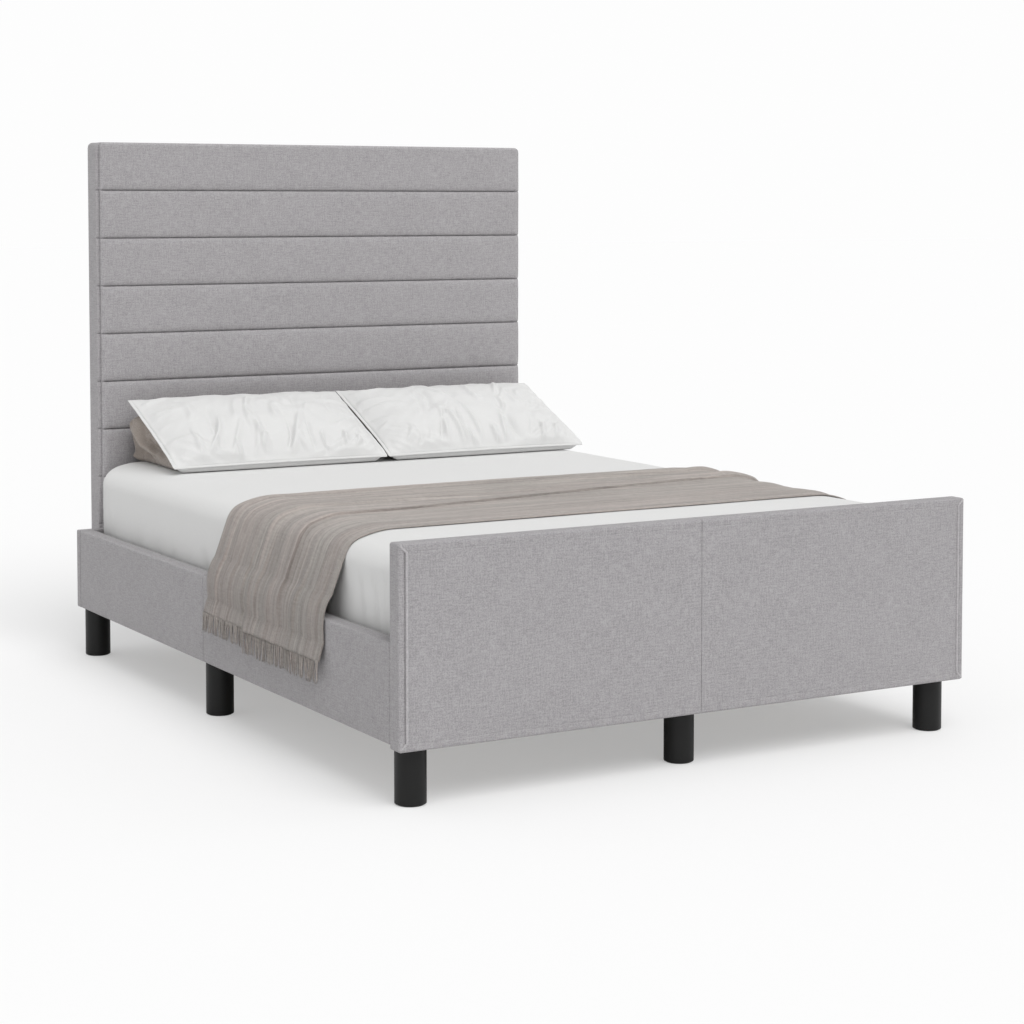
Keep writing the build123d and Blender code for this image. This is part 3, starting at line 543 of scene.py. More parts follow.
def make_finishes(colours, sizes):
    """Every material of the bed."""
    shop = Finishes()
    weave, grain, flecks = shop.weave, shop.grain, shop.flecks
    yarn = sizes.upholstery_yarn
    cloth = {"Yarn": yarn, "Slub": 0.9, "Cloud": 0.35, "Fleck": 2.3}
    light, dark, linen = colours.upholstery, colours.upholstery_dark, colours.linen
    # The headboard's copy of the upholstery is 5.5 % paler than the rest: painted light, standing in for the
    # bounce from the white bedding.
    for name, factor in (("woven upholstery", 1.0), ("headboard cloth with painted light", 1.055)):
        shop.finish(name, weave, cloth, paler(light, factor), paler(dark, factor),
                    0.92, yarn * 0.35, True, Sheen_Weight=0.12, Sheen_Roughness=0.6, Specular_IOR_Level=0.2)
    # The piping's copy of the upholstery is paler than the board's: a painted highlight, so that the bead reads as
    # a bright line.
    shop.finish("piping cloth with painted highlight", weave, cloth, paler(light, 1.22), paler(dark, 1.30),
                0.85, yarn * 0.3, True, Sheen_Weight=0.25, Sheen_Roughness=0.5, Specular_IOR_Level=0.3)
    # The pillows' copy of the linen is darker than the sheet's: painted shade, because the pillows face the key
    # lamp.
    for name, first, second in (("white linen", 1.0, 0.93), ("pillow linen with painted shade", 0.96, 0.90)):
        shop.finish(name, weave, {"Yarn": 0.00045, "Slub": 0.35, "Cloud": 0.10}, paler(linen, first),
                    paler(linen, second), 0.88, 0.00012, True, Sheen_Weight=0.10, Sheen_Roughness=0.5,
                    Specular_IOR_Level=0.2)
    shop.finish("ticking", weave, {"Yarn": 0.0008, "Slub": 0.5, "Cloud": 0.2},
                (0.82, 0.82, 0.80), (0.70, 0.70, 0.69), 0.9, 0.0003, True, Sheen_Weight=0.1)
    shop.finish("black backing cloth", weave, {"Yarn": 0.0014, "Slub": 0.9, "Cloud": 0.4},
                (0.035, 0.035, 0.036), (0.012, 0.012, 0.012), 0.95, 0.0003, True)
    shop.finish("foam", flecks, {"Size": 0.0016, "Cloud": 0.5},
                (0.80, 0.76, 0.62), (0.62, 0.58, 0.46), 0.95, 0.0006)
    shop.finish("particle board", flecks, {"Size": 0.0030, "Cloud": 0.6},
                (0.55, 0.42, 0.27), (0.34, 0.24, 0.14), 0.8, 0.0003)
    shop.finish("pine", grain, {"Rings": 38.0, "Pores": 0.5},
                (0.66, 0.47, 0.27), (0.47, 0.29, 0.14), 0.62, 0.0002)
    shop.finish("birch plywood", grain, {"Rings": 24.0, "Pores": 0.5},
                (0.76, 0.62, 0.42), (0.60, 0.44, 0.26), 0.5, 0.00012, Coat_Weight=0.15, Coat_Roughness=0.35)
    shop.finish("zinc-plated steel", flecks, {"Size": 0.004, "Cloud": 0.7},
                (0.72, 0.73, 0.75), (0.46, 0.47, 0.49), 0.34, 0.00002, Metallic=1.0)
    shop.finish("black coated steel", flecks, {"Size": 0.0007, "Cloud": 0.3}, (0.040, 0.040, 0.042),
                (0.020, 0.020, 0.021), 0.48, 0.00005)
    shop.finish("black leg paint", flecks, {"Size": 0.0012, "Cloud": 0.4},
                paler(colours.leg, 1.3), paler(colours.leg, 0.8), 0.45, 0.00003, Specular_IOR_Level=0.28)
    shop.finish("grey felt", flecks, {"Size": 0.0005, "Cloud": 0.6},
                (0.16, 0.16, 0.16), (0.06, 0.06, 0.06), 1.0, 0.0003, Sheen_Weight=0.3)
    shop.finish("black plastic", flecks, {"Size": 0.0004, "Cloud": 0.3}, (0.035, 0.035, 0.035),
                (0.022, 0.022, 0.022), 0.40, 0.00003)
    shop.finish("taupe cushion cloth", weave, {"Yarn": 0.0006, "Slub": 0.6, "Cloud": 0.3},
                paler(colours.cushion, 1.56), paler(colours.cushion, 0.76), 0.38, 0.0002,
                Sheen_Weight=0.35, Sheen_Roughness=0.4, Specular_IOR_Level=0.7)
    # Half the throw's run, from which its painted light on the flat of the bed and painted shade on the hang are
    # measured.
    x, z, _, _, _ = throw_path(sizes)
    throw_finish(shop, "throw weave", colours, 1.0, np.hypot(np.diff(x), np.diff(z)).sum() / 2)
    throw_finish(shop, "fringe yarn", colours, 1.12)


def throw_finish(shop, name, colours, factor, middle=None):
    """Fine ribs along the throw, in a warm and a cool yarn that trade places in long streaks.

    Where the middle of its run is given, the cloth is painted paler on the flat of the bed and darker where it
    hangs: painted light and painted shade.
    """
    values = {"Yarn": 0.0013, "Slub": 0.8, "Cloud": 0.3, "Fleck": 0.8}
    tree, shader, pattern, place = shop.start(name, shop.weave, values, True)
    streak = noise(scaled(place, (0.8, 27.0, 1.0)), 1.0, 2.0, 0.5)
    yarn = blend_of(tree, mapped(streak, 0.36, 0.64), paler(colours.throw, factor),
                    paler(colours.throw_cool, factor))
    fine = noise(scaled(place, (3.0, 150.0, 1.0)), 1.0, 3.0, 0.6)
    broad = noise(scaled(place, (1.6, 52.0, 1.0)), 1.0, 2.0, 0.5)
    tone = times(mapped(fine, 0.32, 0.68, 0.80, 1.16), mapped(broad, 0.36, 0.64, 0.84, 1.10))
    tone = times(tone, mapped(pattern["Shade"], 0.0, 1.0, 0.78, 1.20))
    if middle:
        # Painted light and shade: the colour is 1.22 times paler on the flat of the bed and 0.93 times where the
        # throw hangs.
        away = maths("ABSOLUTE", minus(parts_of(place)[0], middle))
        tone = times(tone, mapped(away, 0.64, 0.80, 1.22, 0.93))
    tree.links.new(grown(yarn, tone), shader.inputs["Base Color"])
    height = plus(times(fine, 1.5), pattern["Height"])
    relief = add(tree, "Bump", {"Height": height, "Distance": 0.0006, "Strength": 0.7})
    tree.links.new(relief.outputs[0], shader.inputs["Normal"])
    shader.inputs["Roughness"].default_value = 0.95
    shader.inputs["Sheen Weight"].default_value = 0.25
    shader.inputs["Sheen Roughness"].default_value = 0.5
    shader.inputs["Specular IOR Level"].default_value = 0.15


# ---- Headboard -------------------------------------------------------------------

def headboard_cover(sizes, material):
    """One cloth over the headboard: channelled front, rolled edges, sides and a turned-in back.

    Over each channel the front bulges as the root of 1 - |p|^7, with p from -1 at one
    seam to 1 at the next, and dips to a stitched line. Square corners are mapped onto
    quarter circles by scaling each point by its larger part over its radius.
    """
    low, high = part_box("headboard_cover")
    half_x, height = (high.x - low.x) / 2, high.z - low.z
    roll, corner, crease = sizes.headboard_roll, sizes.headboard_corner, sizes.side_crease
    pitch = height / sizes.channel_count
    bend = np.linspace(0, pi / 2, 7)
    edge = roll * (1 - np.cos(bend))
    half_front = half_x - crease
    inner = np.linspace(edge[-1], 2 * half_front - edge[-1], 150)[1:-1]
    across = np.concatenate([edge, inner, 2 * half_front - edge[::-1]]) - half_front
    near = np.array([0.0, 0.0011, 0.0024, 0.0042, 0.0068, 0.0105, 0.0160, 0.0240, 0.0360, 0.0500])
    channel = np.concatenate([near, [pitch / 2], pitch - near[::-1]])[:-1]
    up = np.concatenate([channel + index * pitch for index in range(sizes.channel_count)] + [[height]])
    up = np.unique(np.round(np.concatenate([up, edge / 2, height - edge / 2]), 6))
    x, z = np.meshgrid(across, up)
    local = z / pitch
    phase = local - np.floor(np.clip(local, 0, sizes.channel_count - 1e-9))
    bulge = np.sqrt(1 - np.clip(np.abs(2 * phase - 1), 0, 1) ** 7.0)
    seam_gap = np.abs(local - np.round(local)) * pitch
    inside = (np.round(local) > 0) & (np.round(local) < sizes.channel_count)
    outer = ((phase < 0.5) & (local < 1)) | ((phase > 0.5) & (local > sizes.channel_count - 1))
    bulge = np.where(outer, 1.0, bulge)
    stitch = np.where(inside, bell(seam_gap, 0.0016), 0)
    pucker = np.where(inside, np.exp(-seam_gap / 0.011), 0) * ripple(x, z * 0.15, 5, 0.034)
    soft = 0.0006 * ripple(x, z, 11, 0.30) + 0.0004 * ripple(x, z, 12, 0.09)
    shallow = 1 - 0.55 * smooth(roll - half_front + np.abs(x), 0, roll)
    front = low.y + shallow * (sizes.channel_depth * (1 - bulge) + sizes.stitch_depth * stitch)
    front = front + 0.0008 * pucker + soft + 0.0008
    square_x, square_z = x, z - height / 2
    beyond_x = np.maximum(np.abs(square_x) - (half_front - corner), 0)
    beyond_z = np.maximum(np.abs(square_z) - (height / 2 - corner), 0)
    radius = np.hypot(beyond_x, beyond_z)
    shrink = np.where(radius > 0, np.maximum(beyond_x, beyond_z) / np.maximum(radius, 1e-9), 1)
    map_x = np.where(radius > 0, np.sign(square_x) * (half_front - corner + beyond_x * shrink), square_x)
    map_z = np.where(radius > 0, np.sign(square_z) * (height / 2 - corner + beyond_z * shrink), square_z)
    map_x = np.where(beyond_x > 0, map_x, square_x)
    map_z = np.where(beyond_z > 0, map_z, square_z)
    near_edge = np.maximum(1 - (half_front - np.abs(square_x)) / roll,
                           1 - (height / 2 - np.abs(square_z)) / (roll / 2))
    rolled = 0.011 * (1 - np.sqrt(1 - np.clip(near_edge, 0, 1) ** 2))
    points = np.stack([map_x, front + rolled, map_z + low.z + height / 2], -1)
    places = np.stack([map_x, map_z], -1)
    rows, columns = x.shape
    faces = grid_faces(rows, columns)
    order = np.arange(rows * columns).reshape(rows, columns)
    border = np.concatenate([order[0, :-1], order[:-1, -1], order[-1, :0:-1], order[:0:-1, 0]])
    rim = points.reshape(-1, 3)[border]
    rim_places = places.reshape(-1, 2)[border]
    out_x = np.where(beyond_x.ravel()[border] > 0,
                     np.sign(rim[:, 0]) * (np.abs(rim[:, 0]) - half_front + corner), 0)
    centre_z = low.z + height / 2
    above = rim[:, 2] - centre_z
    out_z = np.where(beyond_z.ravel()[border] > 0, np.sign(above) * (np.abs(above) - height / 2 + corner), 0)
    out = np.stack([out_x, out_z], -1)
    out /= np.maximum(np.linalg.norm(out, axis=1, keepdims=True), 1e-9)
    side_start = rim[:, 1]
    back = high.y - 0.0012
    stations = [(0.0008, 0.0016, 0.0), (0.0018, 0.0038, 0.0), (0.0028, 0.0048, 0.0),
                (0.0037, 0.0040, 0.04), (0.0043, 0.0016, 0.28), (0.0048, 0.0, 0.55),
                (0.0058, 0.0, 0.80), (0.0074, 0.0, 0.95), (0.0100, 0.0, 1.0)]
    steepness = np.abs(out[:, 0]) ** 2
    band = [(None, 0.0004 * sin(pi * step / 9), step / 9) for step in range(1, 10)]
    turn = [(None, 0.003 * (1 - cos(a)), 1 + 0.003 * sin(a)) for a in np.linspace(0, pi / 2, 5)[1:]]
    hem = [(None, inset, 1.003) for inset in (0.008, 0.016, 0.026, 0.036)]
    layers, layer_places, travelled = [], [], np.zeros(len(rim))
    last = rim
    for step, inset, share in stations + band + turn + hem:
        swell = crease * steepness
        if step is not None:
            y = side_start + step
            inset = inset * (0.30 + 0.70 * steepness)
            swell = share * swell
        elif share <= 1:
            first = side_start + stations[-1][0]
            y = first + (back - 0.003 - first) * share
        else:
            y = np.full(len(rim), back - 0.003 + (share - 1))
        inset = inset - swell
        layer = np.stack([rim[:, 0] - out[:, 0] * inset, y, rim[:, 2] - out[:, 1] * inset], -1)
        travelled = travelled + np.linalg.norm(layer - last, axis=1)
        layers.append(layer)
        layer_places.append(rim_places + out * travelled[:, None])
        last = layer
    count_rim = len(border)
    start = rows * columns
    added = start + np.arange(len(layers) * count_rim).reshape(-1, count_rim)
    indices = np.concatenate([border[None, :], added])
    following = np.roll(indices, -1, 1)
    wall = np.stack([indices[:-1], indices[1:], following[1:], following[:-1]], -1).reshape(-1, 4)
    points = np.concatenate([points.reshape(-1, 3), *layers])
    places = np.concatenate([places.reshape(-1, 2), *layer_places])
    made = piece("headboard_fabric", points, np.concatenate([faces, wall]), "bed_frame",
                 material, places, weld=0)
    centre = np.array([0, (low.y + high.y) / 2, centre_z])
    normal = np.zeros(len(made.data.polygons) * 3)
    made.data.polygons.foreach_get("normal", normal)
    middle = np.zeros(len(made.data.polygons) * 3)
    made.data.polygons.foreach_get("center", middle)
    if (normal.reshape(-1, 3) * (middle.reshape(-1, 3) - centre)).sum() < 0:
        made.data.flip_normals()
    thicken(made, 0.0014)
    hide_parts("headboard_cover")
    return made


def headboard_padding(sizes, material):
    """Foam under the headboard's cover: one slab with round edges, clear of the stitching."""
    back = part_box("headboard_foam")[1].y
    cover_low, cover_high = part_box("headboard_cover")
    half_x = (cover_high.x - cover_low.x) / 2 - sizes.side_crease - 0.007
    half_z = (cover_high.z - cover_low.z) / 2 - 0.0055
    front = cover_low.y + sizes.channel_depth + sizes.stitch_depth + 0.0055
    a, b, height, places, _ = padded_shell(half_x, half_z, 0.020, back - front, 0.006, 0.03)
    height = height - 0.0008 * (0.5 + 0.5 * ripple(a, b, 17, 0.4)) * (height > -0.004)
    points = np.stack([a, front - height, b + (cover_low.z + cover_high.z) / 2], -1)
    made = wrapped("headboard_foam_slab", points, "bed_frame", material, places,
                   "headboard_foam")


def backing_cloth(material):
    """Thin cloth over the headboard's back, drawn slightly hollow between the timbers."""
    low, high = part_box("headboard_back_cloth")
    half_x, half_z = (high.x - low.x) / 2 - 0.012, (high.z - low.z) / 2 - 0.012
    a, b, height, places, inset = padded_shell(half_x, half_z, 0.008, 0.0016, 0.0006, 0.022)
    hem = bell(inset - 0.016, 0.0022)
    slack = smooth(inset, 0.015, 0.12) * (0.0004 + 0.0004 * ripple(a, b, 21, 0.35))
    height = height - np.where(height > -0.0009, slack + 0.0003 * hem, 0)
    points = np.stack([-a, high.y + 0.0004 + height, b + (low.z + high.z) / 2], -1)
    made = piece("headboard_back_lining", points, grid_faces(*a.shape, closed=True), "bed_frame",
                 material, places)
    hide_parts("headboard_back_cloth")
    return made


# ---- Padded boards -----------------------------------------------------------------

def footboard_fabric(side, name, sizes, material):
    """One half of the footboard's cover, with a border sewn round its front.

    The border's seam is a narrow bell-shaped groove, deep along the upright side and
    faint along the top and bottom. Piping stands along the upright side, and runs out
    into the corners as mitres. Towards the joint in the middle the round edge narrows.
    """
    low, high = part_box(f"footboard_cover_{name}")
    half_a, half_b = (high.x - low.x) / 2, (high.z - low.z) / 2
    border = sizes.border_width
    marks = border + np.array([-0.008, -0.006, -0.0045, -0.003, -0.002, -0.001,
                               0, 0.001, 0.002, 0.003, 0.0045, 0.007])
    a, b, height, places, inset = padded_shell(half_a, half_b, 0.006, high.y - low.y, sizes.board_edge,
                                               0.011, marks)
    out = (a + half_a)
    front = smooth(height, -0.004, -0.001)
    joint = smooth(out, 0.020, 0.034)
    upright = smooth((half_b - np.abs(b)) - (half_a - a), -0.003, 0.003)
    deep = bell(inset - border + 0.0036, 0.0013) * upright
    faint = bell(inset - border * 0.92, 0.0012) * (1 - upright)
    crown = smooth(inset, border, border + 0.045)
    bulge = 0.0006 * crown + 0.0004 * ripple(a, b, 31 + side, 0.22) + 0.00025 * ripple(a, b, 33, 0.07)
    height = height + front * (bulge - (0.0030 * deep + 0.0005 * faint) * joint - 0.0008)
    x = out * (0.08 + 0.92 * np.clip(out / 0.03, 0, 1))
    points = np.stack([side * x, low.y - height, b + (low.z + high.z) / 2], -1)
    wrapped(f"footboard_fabric_{name}", points, "bed_frame", material, places,
            f"footboard_cover_{name}")
    outer, line = 2 * half_a, 2 * half_a - border
    tip = 0.0035
    corners = [(outer - tip, high.z - tip), (line, high.z - border),
               (line, low.z + border), (outer - tip, low.z + tip)]
    path = []
    for (x0, z0), (x1, z1) in zip(corners, corners[1:]):
        steps = np.linspace(0, 1, max(int(np.hypot(x1 - x0, z1 - z0) / 0.008), 4))[:, None]
        path.append(np.hstack([x0 + (x1 - x0) * steps, z0 + (z1 - z0) * steps])[(1 if path else 0):])
    path = np.concatenate(path)
    sink = 0.0020 * smooth(path[:, 0], line + 0.001, line + 0.009)
    path = np.stack([side * path[:, 0], low.y + 0.0004 + sink, path[:, 1]], -1)
    points, faces, places = tube(path, sizes.piping_radius, 10)
    # The piping's paler cloth is a painted highlight.
    piece(f"footboard_piping_{name}", points, faces, "bed_frame",
          bpy.data.materials["piping cloth with painted highlight"], places)


def rail_fabric(side, node, sizes, material):
    """Cover of one length of side rail, drawn over its edges."""
    low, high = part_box(node)
    half_a, half_b = (high.y - low.y) / 2, (high.z - low.z) / 2
    thick = high.x - low.x
    a, b, height, places, inset = padded_shell(half_a, half_b, 0.006, thick, sizes.board_edge, 0.011)
    front = smooth(height, -0.004, -0.001)
    seed = 41 + int(low.y * 10) + side
    bulge = 0.0006 * smooth(inset, 0.004, 0.05) + 0.0004 * ripple(a, b, seed, 0.26)
    height = height + front * (bulge - 0.0008)
    outer = high.x if side > 0 else low.x
    points = np.stack([outer + side * height, a + (low.y + high.y) / 2, b + (low.z + high.z) / 2], -1)
    wrapped(node.replace("_cover", "_fabric"), points, "bed_frame", material, places, node)


def head_rail_fabric(material):
    """Cover of the cross rail at the head."""
    low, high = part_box("head_rail_cover")
    half_a, half_b = (high.x - low.x) / 2, (high.z - low.z) / 2
    a, b, height, places, _ = padded_shell(half_a, half_b, 0.004, high.y - low.y, 0.0025, 0.014)
    points = np.stack([a, low.y - height, b + (low.z + high.z) / 2], -1)
    wrapped("head_rail_fabric", points, "bed_frame", material, places, "head_rail_cover")


# ---- Mattress and sheet --------------------------------------------------------------

def mattress_block(sizes, material):
    """The mattress: quilted top and bottom, a plain border and round edges.

    The quilting is the product of two slanting sines, so the cloth dips along diamonds.
    """
    low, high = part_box("mattress")
    half_a, half_b = (high.x - low.x) / 2 - MATTRESS_INSET, (high.y - low.y) / 2 - MATTRESS_INSET
    thick = high.z - low.z - 0.004
    a, b, height, places, _ = padded_shell(half_a, half_b, 0.058, thick, 0.028, 0.016)
    quilt = 1 - np.abs(np.sin((a + b) * pi / 0.14) * np.sin((a - b) * pi / 0.14)) ** 0.4
    top = smooth(height, -0.02, -0.001) + smooth(-height, thick - 0.02, thick - 0.001)
    dip = quilt * 0.004 * top
    height = height - (height > -thick / 2) * dip + (height < -thick / 2) * dip
    y = b + (low.y + high.y) / 2
    points = np.stack([a, y, settled(a, y, high.z - 0.002 + height, sizes)], -1)
    made = wrapped("mattress_quilted", points, "mattress", material, places, "mattress")


def fitted_sheet(sizes, material):
    """The fitted sheet: flat on top, drawn down the sides, gathered at its corners.

    All folds go inwards, so that the sheet stays inside its own outer size. Tucks are
    bells of the distance round the edge that deepen downwards, where the sheet is
    pushed between the mattress and the rails.
    """
    low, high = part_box("fitted_sheet")
    half_a, half_b, thick = (high.x - low.x) / 2, (high.y - low.y) / 2, high.z - low.z
    a, b, height, places, _ = padded_shell(half_a, half_b, 0.061, thick, 0.031, 0.0125,
                                           back=False, tuck=0.115)
    down = -height
    side = smooth(down, 0.010, 0.05)
    lowered = smooth(down, 0.05, 0.19)
    near_a, near_b = half_a - np.abs(a), half_b - np.abs(b)
    round_corner = bell(np.hypot(near_a, near_b), 0.11)
    turn = np.arctan2(np.abs(b) - half_b + 0.061, np.abs(a) - half_a + 0.061)
    folds = (0.5 + 0.5 * np.sin(turn * 13 + 2.5 * down / 0.2)) ** 1.5
    pull = 0.5 + 0.5 * ripple(a + b, down * 0.5, 51, 0.19)
    slant = 0.5 + 0.5 * ripple((a + b) + 0.6 * down, down * 2.2, 53, 0.075)
    along = np.where(near_a < near_b, b, a)
    tucks = np.zeros(a.shape)
    dice = np.random.default_rng(55)
    for at in dice.uniform(-0.9, 0.9, 34):
        gap = along - at - dice.uniform(-0.25, 0.25) * (0.23 - down)
        wide = dice.uniform(0.006, 0.013)
        tucks += dice.uniform(0.4, 1.0) * bell(gap, wide, 1.8 * wide) \
            * smooth(down, dice.uniform(0.09, 0.15), 0.20)
    lines = [(-0.902, 0.010, -0.918, 0.300, 0.0080, 2.6, 0.006),
             (-0.866, 0.016, -0.890, 0.300, 0.0090, 2.2, 0.010),
             (-0.820, 0.024, -0.856, 0.300, 0.0080, 1.9, 0.014),
             (-0.766, 0.030, -0.815, 0.300, 0.0100, 1.5, 0.012),
             (-0.700, 0.040, -0.752, 0.300, 0.0110, 1.2, 0.010)]
    foot_folds = creases(along, down, lines) * (near_a < near_b)
    drawn = smooth(down, 0.12, 0.21) * bell(near_b, 0.035) * (b < 0)
    depth = sizes.sheet_wrinkle * (foot_folds + 2.9 * drawn + side * (0.35 * pull + 0.45 * slant * lowered)
                                   + 1.0 * np.minimum(tucks, 1.4) + 1.8 * side * round_corner * folds)
    depth = 0.0125 * np.tanh(depth / 0.0125)
    out_a, out_b = a / half_a, b / half_b
    weight_a = smooth(np.abs(out_a), 0.94, 1.0)
    weight_b = smooth(np.abs(out_b), 0.955, 1.0)
    total = np.maximum(np.hypot(weight_a, weight_b), 1e-6)
    a = a - np.sign(a) * depth * weight_a / total
    b = b - np.sign(b) * depth * weight_b / total
    flat_top = 1 - smooth(down, 0.0, 0.004)
    lines = [(-0.66, 0.56, -0.30, 0.49, 0.014, 1.0, 0.02), (-0.64, 0.44, -0.42, 0.30, 0.012, 0.8, 0.01),
             (0.10, 0.47, 0.40, 0.40, 0.016, 0.7, 0.01), (-0.62, -0.74, -0.35, -0.86, 0.012, 0.8, 0.01),
             (-0.25, -0.72, 0.05, -0.80, 0.014, 0.6, -0.01), (0.35, -0.75, 0.62, -0.86, 0.014, 0.8, 0.01)]
    wave = 0.0010 * (0.5 + 0.5 * ripple(a, b, 57, 0.42)) + 0.0013 * creases(a, b, lines)
    height = height - flat_top * wave - 0.0003
    bottom = smooth(down, thick - 0.012, thick - 0.001)
    height = height + bottom * 0.0006
    y = b + (low.y + high.y) / 2
    points = np.stack([a, y, settled(a, y, high.z + height, sizes)], -1)
    made = wrapped("fitted_sheet_cloth", points, "mattress", material, places,
                   "fitted_sheet")
    thicken(made, 0.0007)


# ---- Throw ---------------------------------------------------------------------------

def throw_path(sizes):
    """Line under the throw in the XZ plane from hem to hem, and its outward normals.

    It hangs outside the rail, slopes straight up from the rail's top to touch the
    mattress's round edge, and follows that edge and the top. The touching point is
    the point of the edge that is seen steepest from the rail's top corner.
    """
    low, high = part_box("throw")
    rail_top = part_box("left_rail_front_cover")[1].z
    sheet_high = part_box("fitted_sheet")[1]
    radius = 0.0313
    bend_x, bend_z = sheet_high.x - 0.031, sheet_high.z + 0.0003 - radius
    hang_x = high.x - 0.004
    arc = np.linspace(0, pi / 2, 40)
    inward = bend_x * (1 - np.linspace(0, 1, 70)[1:] ** 1.5)
    edge_x = np.concatenate([bend_x + radius * np.cos(arc), inward])
    edge_z = np.concatenate([bend_z + radius * np.sin(arc), np.full(len(inward), bend_z + radius)])
    edge_z = settled(edge_x, 0 * edge_x, edge_z, sizes)
    touch = np.arctan2(edge_z - rail_top, hang_x - edge_x).argmax()
    hang = np.linspace(low.z, rail_top - 0.050, 9)
    knee = np.linspace(0, 1, 11)[1:-1]
    incline = np.linspace(0, 1, 11)
    start, corner = (hang_x, rail_top - 0.050), (hang_x + 0.010, rail_top + 0.016)
    lean = (hang_x + (edge_x[touch] - hang_x) * 0.36, rail_top + (edge_z[touch] - rail_top) * 0.36)
    knee_x = (1 - knee) ** 2 * start[0] + 2 * knee * (1 - knee) * corner[0] + knee ** 2 * lean[0]
    knee_z = (1 - knee) ** 2 * start[1] + 2 * knee * (1 - knee) * corner[1] + knee ** 2 * lean[1]
    slope_x = lean[0] + (edge_x[touch] - lean[0]) * incline
    slope_z = lean[1] + (edge_z[touch] - lean[1]) * incline
    tilted = hang_x + 0.012 * (1 - np.linspace(0, 1, 9) ** 1.3)
    x = np.concatenate([tilted, knee_x, slope_x, edge_x[touch + 1:]])
    z = np.concatenate([hang, knee_z, slope_z, edge_z[touch + 1:]])
    x, z = np.concatenate([x, -x[-2::-1]]), np.concatenate([z, z[-2::-1]])
    ahead = np.stack([np.gradient(x), np.gradient(z)], -1)
    ahead /= np.linalg.norm(ahead, axis=1, keepdims=True)
    normal = np.stack([ahead[:, 1], -ahead[:, 0]], -1)
    return x, z, normal, low, high


